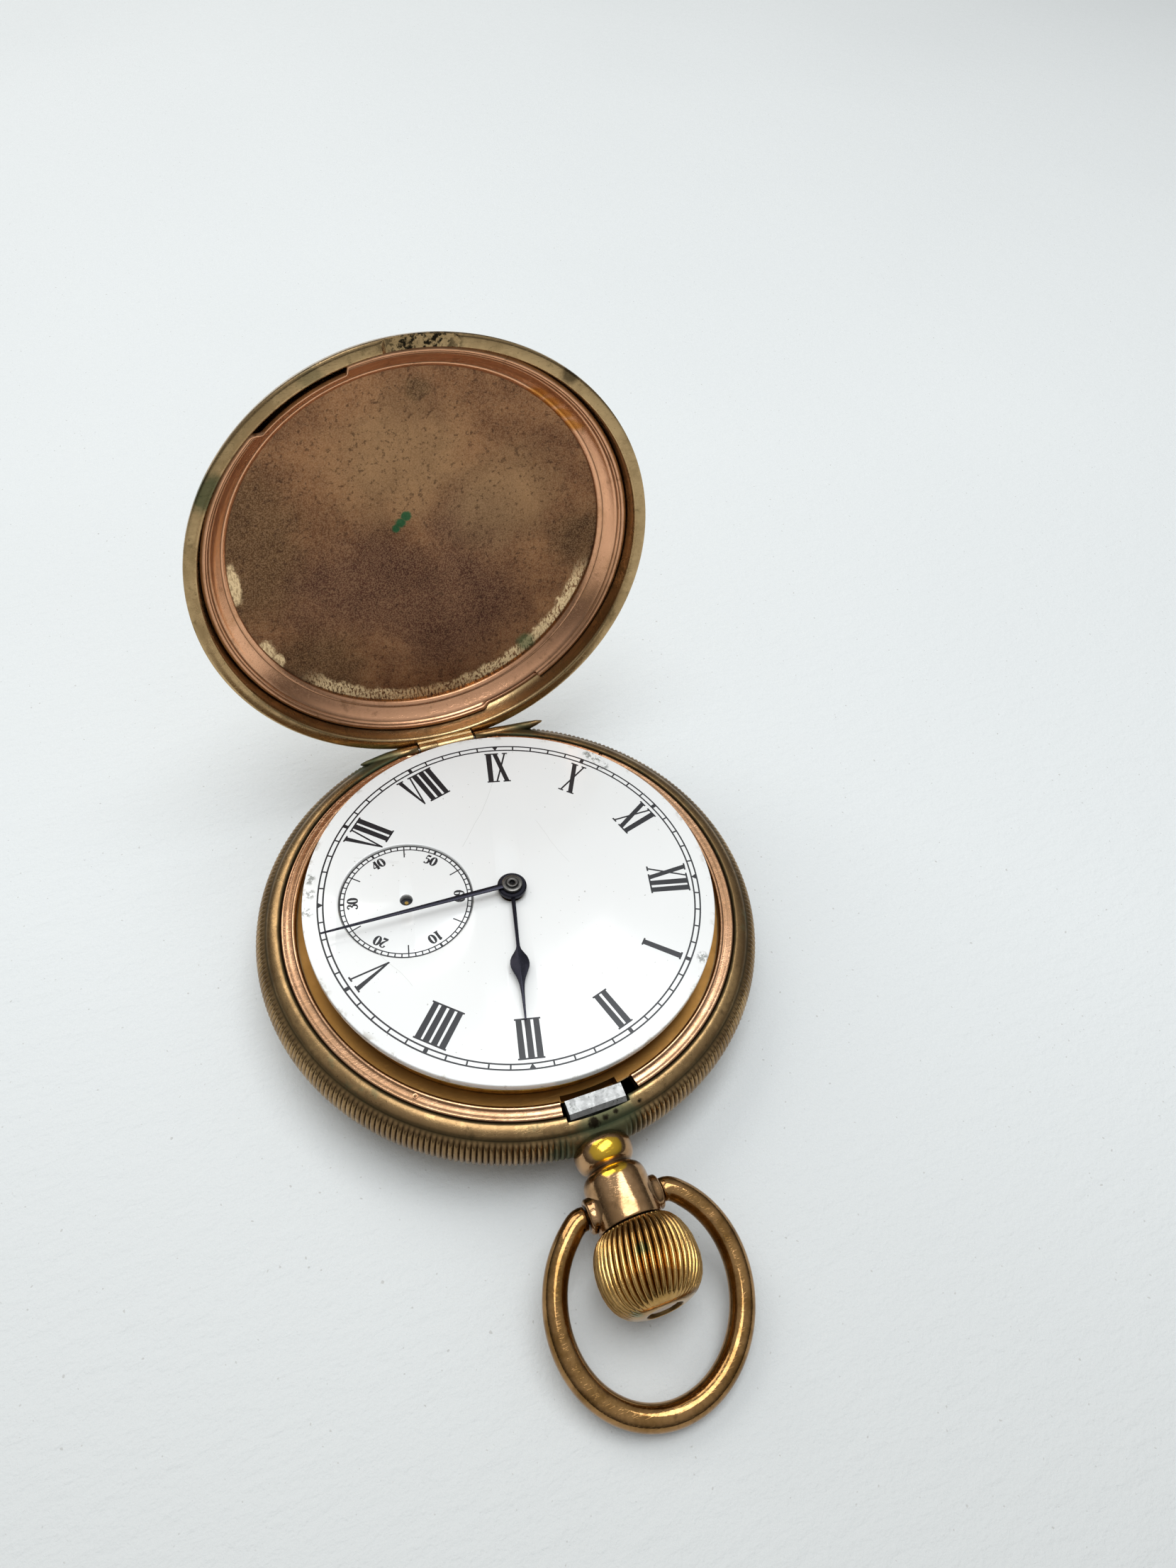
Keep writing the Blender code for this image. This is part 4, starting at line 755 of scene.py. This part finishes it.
def build_front_lid():
    def shell(a):
        outer = [(0.0, 15.46), (4, 15.42), (8, 15.3), (12, 15.12), (15, 14.9), (17.8, 14.55), (20, 14.08),
            (21.6, 13.5), (22.7, 12.86), (23.55, 12.0), (24.2, 10.95), (24.5, 10.1), (24.6, 9.72),
            (24.58, 9.5), (24.46, 9.42)]
        inner = [(24.3, 9.4), (23.9, 9.4), (23.55, 9.42), (23.38, 9.47), (23.27, 9.6), (23.22, 9.9),
            (23.2, 10.6), (22.95, 11.3), (22.4, 12.15), (21.4, 12.85), (20.4, 13.38), (20.15, 13.42),
            (19.9, 13.5), (17.5, 13.9), (15, 14.25), (11.5, 14.52), (8, 14.7), (4, 14.82), (0.0, 14.86)]
        dent = 0.03 * math.sin(3 * a + 0.4) + 0.02 * math.sin(7 * a)
        outer = [(r, h + dent * smooth_step(r, 10, 18) * (1 - smooth_step(r, 20, 23))) for r, h in outer]
        if within(a, CATCH_NOTCH):
            outer[-2:] = [(24.58, 9.66), (24.54, 9.64)]
            inner[:5] = [(24.5, 9.68), (24.42, 9.86), (23.9, 9.87), (23.45, 9.88), (23.3, 9.89)]
        return outer + inner

    count = len(shell(0))
    points, faces, grime_and_shade = turned(shell, FINE, closed=False)
    outer_end, plate_start = 11, 25
    kinds = []
    for _ in range(FINE):
        for j in range(count - 1):
            kinds.append(0 if j < outer_end else 2 if j >= plate_start else 1)
    points = from_hinge(points)
    piece("lid_shell_fine", points, faces, [OUTSIDE_BRASS, LID_BRASS, BLOOM], "front_lid",
        ["front_lid_shell"], 40, grime_and_shade, kinds, opened())

    def ring(a):
        turn = math.degrees(a) % 360
        slot = smooth_step(turn, 316.5, 319.5) * (1 - smooth_step(turn, 344.0, 345.2))
        notch = smooth_step(turn, 146.0, 146.6) * (1 - smooth_step(turn, 163.5, 166.0))
        back = 0.85 * slot
        outline = [(22.86, 11.10, 0.9), (22.66, 10.93, 0.5), (22.46, 10.95, 0.1), (22.36, 11.02, 0.2),
            (22.30, 11.17, 0.95), (22.23, 11.17, 0.3), (22.12, 11.28, 0.05), (22.05, 11.42, 0.5),
            (22.0, 11.50, 0.9), (21.93, 11.52, 0.1), (21.72, 11.78, 0.0), (21.45, 12.05, 0.0),
            (21.12, 12.32, 0.0), (20.82, 12.53, 0.05), (20.72, 12.62, 0.95), (20.66, 12.61, 0.2),
            (20.5, 12.72, 0.0), (20.3, 12.86, 0.1), (20.2, 12.98, 0.6), (20.2, 13.12, 0.9),
            (20.4, 13.22, 0.9), (21.3, 12.74, 0.9), (22.15, 12.12, 0.9), (22.7, 11.45, 0.9)]
        found = []
        for r, h, grime_and_shade_share in outline:
            pull = back * smooth_step(r, 21.9, 22.3)
            lift = 0.30 * pull + 0.55 * notch * smooth_step(r, 22.02, 22.2)
            found.append((max(r - pull, min(r, DIAL_R + DIAL_GAP)), h + lift, grime_and_shade_share))
        return found

    points, faces, grime_and_shade = turned(ring, 720)
    piece("lid_ring_fine", from_hinge(points), faces, [LID_ROSE], "front_lid", ["front_lid_ring"],
        50, grime_and_shade, at=opened())

    # The knuckle is one drawn tube with a seam, and a short web up to the rim.
    rows = []
    knuckle = [(0.34, -3.33), (0.69, -3.33), (KNUCKLE_R, -3.26), (KNUCKLE_R, -1.12), (0.74, -1.1)]
    knuckle += [(KNUCKLE_R, -1.08), (KNUCKLE_R, 3.26), (0.69, 3.33), (0.34, 3.33)]
    for r, h in knuckle:
        rows.append([(r * math.sin(TAU * k / 40), h, r * math.cos(TAU * k / 40)) for k in range(40)])
    points, faces = loft(rows, True, False)
    piece("lid_knuckle", points, faces, [LID_BRASS], "front_lid", at=opened(), grime_and_shade=0.0)
    web = [[(x, y, h) for x, h in ((-0.36, 0.35), (-0.36, 1.15), (0.42, 1.2), (0.62, 0.95), (0.4, 0.4))]
        for y in (-3.3, -2.0, 0.0, 2.0, 3.3)]
    points, faces = loft(web, True, False)
    count = len(web[0])
    faces += [tuple(range(count)), tuple(range(len(points) - count, len(points)))]
    piece("lid_web", points, faces, [LID_BRASS], "front_lid", at=opened(), grime_and_shade=0.2)


def build_rear_covers():
    outline = [(0.0, 0.0), (4, 0.0), (9.5, 0.0), (12, 0.08), (14, 0.19), (17, 0.4), (19, 0.62),
        (21, 0.96), (22.5, 1.33), (23.5, 1.8), (24.25, 2.3), (24.8, 2.85), (25.0, 3.2), (25.02, 3.5),
        (24.96, 3.6), (24.4, 3.62), (24.3, 3.5), (23.75, 2.85), (22.2, 1.95), (19, 1.2), (14, 0.78),
        (9.5, 0.62), (0.0, 0.6)]
    lathe("rear_cover_fine", rounded(outline, 0.25, 2), FINE, [OUTSIDE_BRASS], "rear_lid", ["rear_cover"],
        40, closed=False)
    outline = [(0.36, -2.98), (0.64, -2.98), (0.7, -2.92), (0.7, 2.92), (0.64, 2.98), (0.36, 2.98)]
    lathe("rear_knuckle_fine", outline, 32, [OUTSIDE_BRASS], "rear_lid", axis="Y",
        centre=(-25.1, 0, 2.95))


# ------------------------------------------------------ pendant, crown, bow


def build_pendant():
    outline = [(1.5, 34.4, 0.9), (1.55, 34.56, 0.9), (2.0, 34.6, 0.9), (2.92, 34.58, 0.6),
        (3.06, 34.5, 0.2), (3.11, 34.3), (3.12, 32.4), (3.1, 30.6), (3.06, 30.2), (2.95, 29.85),
        (2.74, 29.55), (2.45, 29.33), (2.2, 29.2, 0.5), (2.08, 29.08, 1.0), (2.12, 28.96, 0.8),
        (2.35, 28.8, 0.1), (2.62, 28.5), (2.8, 28.05), (2.88, 27.5), (2.86, 27.1), (2.74, 26.75, 0.3),
        (2.5, 26.45, 0.9), (2.3, 26.2, 1.0)]
    lathe("pendant_fine", outline, 96, [PENDANT_GOLD], "case", ["pendant"], 50, "X",
        (0, 0, BAND_MID_Z), False)
    for name, sign in (("bow_boss_right", 1), ("bow_boss_left", -1)):
        rows = [(2.1, 2.35, 0.6), (1.86, 2.62, 0.5), (1.68, 2.86, 0.1), (1.62, 3.1), (1.6, 3.42),
            (1.52, 3.56), (1.38, 3.64), (1.2, 3.66, 0.3), (1.12, 3.6, 0.9), (0.9, 3.58, 1.0),
            (0.64, 3.6, 1.0), (0.62, 3.2, 1.0)]
        lathe(name, [(r, sign * h, *grime_and_shade_share) for r, h, *grime_and_shade_share in rows], 64, [PENDANT_GOLD], "case", (),
            50, "Y", BOW_PIVOT, False)


def build_crown():
    """An onion crown: rounded ribs between narrow grooves that lean round it."""
    start, end = CROWN_X
    rows = [(35.4, 3.22), (34.84, 3.24), (34.76, 3.3), (34.74, 3.4), (34.8, 3.52), (35.0, 3.76),
        (35.4, 4.08), (35.9, 4.36), (36.6, 4.62), (37.4, 4.78), (38.2, 4.83), (39.1, 4.78), (39.9, 4.6),
        (40.6, 4.3), (41.15, 3.9), (41.6, 3.4), (41.88, 2.9), (42.06, 2.4), (42.15, 1.98), (42.16, 1.78),
        (42.1, 1.68), (41.7, 1.66)]
    steps = CROWN_FLUTES * 10
    points, grime_and_shade = [], []
    for x, r in rows:
        t = (x - start) / (end - start)
        deep = smooth_step(r, 3.3, 3.6) * (1 - smooth_step(t, 0.84, 0.975))
        dark = 1 - 0.72 * smooth_step(t, 0.30, 0.62)
        for j in range(steps):
            a = TAU * j / steps + 0.30 * t
            rib = abs(math.sin(math.pi * CROWN_FLUTES * j / steps))
            cut = (0.62 - 0.22 * t) * deep * (1 - rib ** 0.55)
            reach = max(r - cut, min(r, 3.3))
            points.append((x, reach * math.cos(a), reach * math.sin(a) + BAND_MID_Z))
            # Painted shade inside the plug's recess and on the skirt by the pendant; the grooves are darkened
            # too, most towards the pendant.
            painted_shade_inside = r < 1.72 or (r < 3.35 and x < 36)
            grime_and_shade.append(max(0.0, 1 - rib * (1.25 + 1.6 * t)) * deep * dark + (0.9 if painted_shade_inside else 0))
    faces = []
    for k in range(len(rows) - 1):
        for j in range(steps):
            n = (j + 1) % steps
            faces.append((k * steps + j, k * steps + n, (k + 1) * steps + n, (k + 1) * steps + j))
    piece("crown_fine", points, faces, [CROWN_GOLD], "crown_spin", ["crown"], 60, grime_and_shade)
    plug = [(0.0, 42.02), (0.6, 42.02), (1.1, 41.98), (1.38, 41.9, 0.2), (1.52, 41.76, 0.9), (1.6, 41.7, 1.0)]
    lathe("crown_plug_fine", plug, 48, [PENDANT_GOLD], "crown_spin", ["crown_plug"], 40, "X",
        (0, 0, BAND_MID_Z), False)


def build_bow():
    """The bow's wire, swept in its own plane from boss to boss, then drooped."""
    half = [(0.0, 3.45, 0.6, 1), (0.0, 3.70, 0.62, 1), (0.0, 3.76, 0.98, 0.9), (0.0, 3.84, 1.08, 0.3),
        (0.0, 4.2, 1.1, 0)]
    first = Vector((0.0, 4.3))
    sweep = []
    for a in np.linspace(139, 0, 44):
        a = math.radians(float(a))
        sweep.append((BOW_CENTRE_U + BOW_LONG * math.cos(a), BOW_WIDE * math.sin(a),
            1.1 + 0.1 * min(1.0, (math.cos(a) + 1) / 1.2), 0.0))
    bend = []
    target = Vector(sweep[0][:2])
    for k in range(1, 8):
        t = k / 8
        control = Vector((0.12, 4.86))
        p = first * (1 - t) ** 2 + control * 2 * t * (1 - t) + target * t * t
        bend.append((p.x, p.y, 1.1, 0.0))
    half = half + bend + sweep
    line = half + [(u, -y, r, d) for u, y, r, d in reversed(half[:-1])]
    rows, grime_and_shade = [], []
    for i, (u, y, r, grime_and_shade_share) in enumerate(line):
        before, after = line[max(i - 1, 0)], line[min(i + 1, len(line) - 1)]
        way = Vector((after[0] - before[0], after[1] - before[1])).normalized()
        side = Vector((way.y, -way.x))
        row = []
        for k in range(40):
            a = TAU * k / 40
            c, s = math.cos(a), math.sin(a)
            row.append((u + side.x * r * c, y - BOW_LEAN * max(u - 0.4, 0) + side.y * r * c, r * s))
            grime_and_shade.append(grime_and_shade_share)
        rows.append(row)
    points, faces = loft(rows, True, False)
    at = Matrix.Translation(Vector(BOW_PIVOT) * MM) @ Matrix.Rotation(math.radians(BOW_DROOP_DEG), 4, "Y")
    piece("bow_fine", points, faces, [BOW_GOLD], "bow_ring", ["bow"], 60, grime_and_shade, at=at)


# ------------------------------------------------------------------ dial


def dial_angle(clockwise_deg):
    return 90 + DIAL_TURN_DEG - clockwise_deg


def oval(steps=20):
    points = []
    for i in range(steps + 1):
        a = TAU * i / steps
        points.append((0.32 + 0.23 * math.cos(a), 0.5 + 0.46 * math.sin(a), 0.06 + 0.12 * abs(math.cos(a))))
    return points


# Digits one unit high, as strokes of (x, y, width).
DIGITS = {
    "0": [
        oval(),
    ],
    "1": [
        [(0.34, 0.0, 0.17), (0.34, 1.0, 0.17)],
        [(0.16, 0.8, 0.06), (0.34, 0.97, 0.08)],
        [(0.14, 0.02, 0.07), (0.54, 0.02, 0.07)],
    ],
    "2": [
        [(0.12, 0.72, 0.13), (0.17, 0.9, 0.08), (0.33, 0.96, 0.07), (0.5, 0.87, 0.13),
            (0.52, 0.68, 0.16), (0.4, 0.45, 0.13), (0.2, 0.2, 0.07), (0.1, 0.06, 0.06)],
        [(0.08, 0.07, 0.15), (0.56, 0.07, 0.15)],
    ],
    "3": [
        [(0.12, 0.78, 0.14), (0.2, 0.93, 0.08), (0.34, 0.96, 0.07), (0.47, 0.86, 0.14),
            (0.46, 0.69, 0.14), (0.36, 0.57, 0.07), (0.24, 0.54, 0.06)],
        [(0.24, 0.54, 0.06), (0.42, 0.5, 0.09), (0.53, 0.34, 0.16), (0.49, 0.13, 0.13),
            (0.33, 0.03, 0.07), (0.18, 0.06, 0.09), (0.1, 0.2, 0.14)],
    ],
    "4": [
        [(0.43, 0.0, 0.16), (0.43, 0.99, 0.16)],
        [(0.42, 0.97, 0.06), (0.05, 0.3, 0.06)],
        [(0.03, 0.28, 0.08), (0.62, 0.28, 0.08)],
        [(0.28, 0.02, 0.06), (0.58, 0.02, 0.06)],
    ],
    "5": [
        [(0.52, 0.92, 0.14), (0.18, 0.92, 0.14)],
        [(0.18, 0.93, 0.06), (0.15, 0.52, 0.06)],
        [(0.15, 0.52, 0.06), (0.3, 0.6, 0.07), (0.46, 0.53, 0.12), (0.53, 0.34, 0.17),
            (0.47, 0.12, 0.13), (0.3, 0.03, 0.07), (0.12, 0.12, 0.13)],
    ],
    "6": [
        [(0.52, 0.84, 0.13), (0.38, 0.96, 0.07), (0.22, 0.86, 0.1), (0.12, 0.6, 0.16), (0.11, 0.34, 0.17),
            (0.17, 0.12, 0.12), (0.32, 0.03, 0.06), (0.46, 0.1, 0.11), (0.53, 0.29, 0.16),
            (0.46, 0.48, 0.11), (0.31, 0.56, 0.06), (0.16, 0.46, 0.06)],
    ],
}


class Print:
    """Flat printed shapes, gathered into one mesh. Drawn in a local plan, then turned and moved."""

    def __init__(self, height):
        self.height = height
        self.points = []
        self.faces = []

    def shape(self, outline, turn_deg=0.0, centre=(0, 0)):
        c, s = math.cos(math.radians(turn_deg)), math.sin(math.radians(turn_deg))
        first = len(self.points)
        for x, y in outline:
            self.points.append((centre[0] + c * x - s * y, centre[1] + s * x + c * y, self.height))
        self.faces.append(tuple(range(first, first + len(outline))))

    def line(self, a, b, width, turn_deg=0.0, centre=(0, 0)):
        way = Vector((b[0] - a[0], b[1] - a[1])).normalized() * width / 2
        side = Vector((-way.y, way.x))
        self.shape([(a[0] + side.x, a[1] + side.y), (a[0] - side.x, a[1] - side.y),
            (b[0] - side.x, b[1] - side.y), (b[0] + side.x, b[1] + side.y)], turn_deg, centre)

    def circle_line(self, radius, width, centre=(0, 0), steps=240):
        first = len(self.points)
        for i in range(steps):
            a = TAU * i / steps
            for r in (radius - width / 2, radius + width / 2):
                self.points.append((centre[0] + r * math.cos(a), centre[1] + r * math.sin(a), self.height))
        for i in range(steps):
            k, n = first + 2 * i, first + 2 * ((i + 1) % steps)
            self.faces.append((k, k + 1, n + 1, n))

    def numeral(self, text, turn_deg, low, high):
        """A Roman numeral between two radii, its top outwards. Thick and thin strokes with hair serifs."""
        thick, thin, gap = 0.64, 0.19, 0.86
        widths = {"I": gap, "V": 1.72, "X": 1.68}
        total = sum(widths[c] for c in text)
        x = -total / 2
        turn = turn_deg - 90
        for c in text:
            w = widths[c]
            middle = x + w / 2
            if c == "I":
                self.shape([(middle - thick / 2, high), (middle + thick / 2, high),
                    (middle + thick * 0.45, low), (middle - thick * 0.45, low)], turn)
                ends = [(middle, high, 0.45), (middle, low, 0.43)]
            elif c == "V":
                left, right = x + 0.28, x + w - 0.14
                foot = x + w * 0.55
                self.shape([(left - 0.26, high), (left + 0.26, high), (foot + 0.13, low + 0.12),
                    (foot, low - 0.05)], turn)
                self.line((right, high), (foot + 0.04, low + 0.02), thin, turn)
                ends = [(left, high, 0.42), (right, high, 0.30)]
            else:
                left, right = x + 0.30, x + w - 0.30
                self.shape([(left - 0.27, high), (left + 0.25, high), (right + 0.27, low),
                    (right - 0.25, low)], turn)
                self.line((right + 0.06, high), (left - 0.06, low), thin, turn)
                ends = [(left, high, 0.42), (right, low, 0.42), (right + 0.06, high, 0.30),
                    (left - 0.06, low, 0.30)]
            for ex, ey, reach in ends:
                self.line((ex - reach, ey), (ex + reach, ey), 0.18, turn)
            x += w

    def ribbon(self, line, turn_deg, centre):
        """A stroke whose width changes along it. line is [(x, y, width)]."""
        sides = []
        for i, (x, y, w) in enumerate(line):
            before, after = line[max(i - 1, 0)], line[min(i + 1, len(line) - 1)]
            way = Vector((after[0] - before[0], after[1] - before[1])).normalized() * w / 2
            sides.append(((x - way.y, y + way.x), (x + way.y, y - way.x)))
        for (a, b), (c, d) in zip(sides, sides[1:]):
            self.shape([a, b, d, c], turn_deg, centre)

    def number(self, text, turn_deg, centre, height):
        advance = 0.64 * height
        for k, digit in enumerate(text):
            left = (k - len(text) / 2) * advance
            for stroke in DIGITS[digit]:
                line = [(left + x * height, (y - 0.5) * height, 1.5 * w * height) for x, y, w in stroke]
                self.ribbon(line, turn_deg, centre)

    def add(self, name, look, body):
        # Each outline gets its own small step in height, so that no two printed shapes lie in one plane.
        step = 0.00002
        for count, face in enumerate(self.faces):
            for i in face:
                x, y, _ = self.points[i]
                self.points[i] = (x, y, self.height + step * (count % 40))
        return piece(name, self.points, self.faces, [look], body, sharp=180)


def build_dial():
    seconds = polar(SECONDS_OFFSET, 270)
    mesh = flat("dial_fine", [circle(DIAL_R, 360), circle(SECONDS_R, 180, seconds), circle(1.25, 64)],
        DIAL_LOW, DIAL_TOP, 0.14, 4)
    mesh.materials.append(ENAMEL)
    turn = Matrix.Rotation(math.radians(DIAL_TURN_DEG), 4, "Z")
    placed("dial_fine", mesh, "case", ["dial"], 40, turn)

    mesh = flat("seconds_dial_fine", [circle(SECONDS_R - 0.06, 180, seconds), circle(0.66, 48, seconds)],
        DIAL_LOW, SECONDS_TOP, 0.05, 2)
    mesh.materials.append(ENAMEL)
    placed("seconds_dial_fine", mesh, "case", ["seconds_dial"], 40, turn)

    rim = [(0.67, 11.47), (0.66, 11.2), (0.66, 10.75), (0.0, 10.72)]
    points, faces, _ = turned(lambda a: rim, 48, "Z", (*polar(SECONDS_OFFSET, 270 + DIAL_TURN_DEG), 0), False)
    piece("seconds_hole_lining", points, faces, [INK], "case")

    marks = Print(DIAL_TOP + 0.006)
    for radius in (19.46, 20.02):
        marks.circle_line(radius, 0.17, steps=360)
    for minute in range(60):
        turn_deg = dial_angle(minute * 6)
        if minute % 15 == 0:
            marks.shape([(19.42, 0.0), (20.06, 0.38), (20.06, -0.38)], turn_deg)
        elif minute % 5 == 0:
            marks.line((19.42, 0), (20.06, 0), 0.42, turn_deg)
        else:
            marks.line((19.46, 0), (20.02, 0), 0.17, turn_deg)
    numerals = ["XII", "I", "II", "III", "IIII", "V", None, "VII", "VIII", "IX", "X", "XI"]
    for hour, text in enumerate(numerals):
        if text:
            marks.numeral(text, dial_angle(hour * 30), 14.85, 18.95)
    marks.add("dial_print", INK, "case")

    centre = polar(SECONDS_OFFSET, 270 + DIAL_TURN_DEG)
    marks = Print(SECONDS_TOP + 0.006)
    for radius, width in ((6.80, 0.14), (6.38, 0.12)):
        marks.circle_line(radius, width, centre, 240)
    for second in range(60):
        turn_deg = dial_angle(second * 6)
        width = 0.24 if second % 10 == 0 else 0.13
        inner = 6.4 if second % 5 else (6.36 if second % 10 == 0 else 5.4)
        marks.line((inner, 0), (6.82, 0), width, turn_deg, centre)
    for number in (60, 10, 20, 30, 40, 50):
        turn_deg = dial_angle(number * 6)
        x, y = polar(5.50, turn_deg)
        marks.number(str(number), turn_deg - 90, (centre[0] + x, centre[1] + y), 1.12)
    marks.add("seconds_print", INK, "case")

    cracks = Print(DIAL_TOP + 0.004)
    chance = random.Random(5)
    for start, aim, length, width in (((-18.6, 6.2), -52, 15.0, 0.030), ((-8.0, 5.5), 18, 7.0, 0.022),
            ((7.5, -12.8), 200, 6.0, 0.026), ((-9.2, -14.6), 70, 5.0, 0.022),
            ((-19.5, -4.0), 10, 4.0, 0.024)):
        x, y = start
        direction = aim
        for _ in range(int(length / 0.6)):
            direction += chance.uniform(-5, 5)
            dx, dy = polar(0.6, direction)
            cracks.line((x, y), (x + dx * 1.02, y + dy * 1.02), width)
            x, y = x + dx, y + dy
    cracks.add("dial_hairlines", HAIRLINE, "case")


def hand(node, half, low, high, bevel, body, clockwise_deg):
    """A blued hand in place of a node, its outline mirrored from one half."""
    mesh = flat(f"{node}_fine", [half + [(x, -w) for x, w in reversed(half)]], low, high, bevel, 1)
    mesh.materials.append(BLUED)
    aim = Matrix.Rotation(math.radians(dial_angle(clockwise_deg)), 4, "Z")
    placed(f"{node}_fine", mesh, body, [node], 50, aim)


def build_hands():
    half = [(0.9, 0.22), (3.0, 0.20), (6.2, 0.17), (7.2, 0.18), (7.6, 0.28), (8.0, 0.52), (8.4, 0.78),
        (8.8, 0.93), (9.2, 0.97), (9.6, 0.92), (10.05, 0.75), (10.5, 0.55), (11.0, 0.37), (11.6, 0.25),
        (12.5, 0.17), (13.8, 0.13), (15.35, 0.09)]
    hand("hour_hand", half, 12.45, 12.63, 0.035, "hour", HOUR_DEG)
    boss = [(1.02, 12.78), (1.1, 12.84), (1.42, 12.84), (1.52, 12.76), (1.55, 12.6), (1.55, 12.42),
        (1.02, 12.42)]
    lathe("hour_boss", boss, 64, [BLUED], "hour")

    half = [(0.5, 0.34), (1.2, 0.29), (4.0, 0.265), (9.0, 0.215), (15.0, 0.15), (MINUTE_TIP, 0.085)]
    hand("minute_hand", half, 12.95, 13.12, 0.03, "center", MINUTE_DEG)
    boss = [(0.0, 13.12, 1), (0.2, 13.12, 1), (0.27, 13.2, 0.9), (0.3, 13.36, 0.4), (0.48, 13.42),
        (0.56, 13.4), (0.62, 13.3, 0.6), (0.68, 13.2, 0.8), (0.86, 13.2), (1.0, 13.17),
        (1.08, 13.08, 0.4), (1.08, 12.9), (1.0, 12.88), (0.0, 12.88)]
    lathe("minute_boss", boss, 64, [WORN_BOSS], "center", closed=False)


# -------------------------------------------------------------- movement


def build_movement_edge():
    """The gilt edge of the movement that shows between dial and case, its gilt darkened partly with painted
    shade.
    """
    rows = [(20.9, 8.5), (21.02, 8.56), (21.02, 9.2), (20.96, 9.24), (20.96, 9.34), (21.02, 9.38),
        (21.02, 10.3), (20.95, 10.42), (20.5, 10.45), (20.5, 8.5)]
    lathe("movement_edge", rows, FINE, [GILT_EDGE_AND_SHADE], "case")


CAD_LOOKS = {"case_brass": BRASS, "rose_gold": ROSE, "crown_brass": CROWN_GOLD, "bow_bronze": BOW_GOLD,
    "catch_steel": CATCH, "steel": STEEL, "blued_steel": BLUED, "enamel": ENAMEL, "gilt": GILT,
    "gilt_plate": FROSTED,}


def dress_cad_nodes():
    for row in frame["record"]["subparts"]:
        node = nodes[row["node"]]
        look = CAD_LOOKS[row["material_slot"]]
        node.data.materials.clear()
        node.data.materials.append(look)
        if node.hide_render:
            continue
        node.data.shade_smooth()
        node.data.set_sharp_from_angle(angle=math.radians(30))
        edge = node.modifiers.new("edges", "BEVEL")
        edge.width = (0.06 if row["node"] != "lock_spring" else 0.09) * MM
        edge.segments = 2
        edge.limit_method = "ANGLE"
        edge.angle_limit = math.radians(40)
        edge.use_clamp_overlap = True


# ----------------------------------------------------------------- scene


def build_stage():
    half = 1.4
    mesh = bpy.data.meshes.new("floor")
    mesh.from_pydata([(-half, -half, 0), (half, -half, 0), (half, half, 0), (-half, half, 0)], [],
        [(0, 1, 2, 3)])
    mesh.materials.append(floor_look())
    floor = in_scene("floor", mesh)
    floor.location.z = -0.00005


def build_lights():
    world = bpy.data.worlds.new("studio")
    bpy.context.scene.world = world
    world.use_nodes = True
    tree = world.node_tree
    tree.nodes.clear()
    output = tree.nodes.new("ShaderNodeOutputWorld")
    back = tree.nodes.new("ShaderNodeBackground")
    place = tree.nodes.new("ShaderNodeTexCoord")
    split = tree.nodes.new("ShaderNodeSeparateXYZ")
    ramp = tree.nodes.new("ShaderNodeValToRGB")
    tree.links.new(place.outputs["Generated"], split.inputs[0])
    tree.links.new(split.outputs["Z"], ramp.inputs[0])
    stops = ramp.color_ramp.elements
    stops[0].position, stops[0].color = 0.0, (0.10, 0.09, 0.08, 1)
    stops[1].position, stops[1].color = 0.95, (0.95, 0.98, 1.0, 1)
    for place_on_ramp, shade in ((0.22, 0.20), (0.55, 0.62)):
        stop = stops.new(place_on_ramp)
        stop.color = (shade, shade * 1.01, shade * 1.01, 1)
    tree.links.new(ramp.outputs["Color"], back.inputs["Color"])
    back.inputs["Strength"].default_value = 0.68
    tree.links.new(back.outputs["Background"], output.inputs["Surface"])
    lamps = (
        ("window", (-0.55, -0.22, 0.55), (0.50, 0.50), 2.0, (1.0, 0.985, 0.96)),
        ("ceiling", (-0.02, 0.04, 0.60), (0.30, 0.55), 2.5, (0.94, 0.97, 1.0)),
    )
    for name, place, size, power, colour in lamps:
        light = bpy.data.lights.new(name, "AREA")
        light.shape = "RECTANGLE"
        light.size, light.size_y = size
        light.energy = power
        light.color = colour
        lamp = in_scene(name, light)
        lamp.location = place
        lamp.rotation_euler = (Vector((0, 0, 0)) - Vector(place)).to_track_quat("-Z", "Y").to_euler()


def build_camera():
    """The photo's view, solved from the dial's hour marks and the case's rings."""
    data = bpy.data.cameras.new("camera")
    data.sensor_width = 36.0
    data.lens = 24.826
    data.clip_start = 0.005
    camera = in_scene("camera", data)
    camera.location = (0.058749, -0.022410, 0.107745)
    camera.rotation_euler = Euler([math.radians(a) for a in (38.9355, -4.5487, 68.7396)])
    bpy.context.scene.camera = camera


bpy.context.scene.view_settings.view_transform = "Standard"
build_camera()
build_stage()
build_lights()
build_case()
build_front_lid()
build_rear_covers()
build_pendant()
build_crown()
build_bow()
build_dial()
build_hands()
build_movement_edge()
dress_cad_nodes()

bpy.context.view_layer.update()
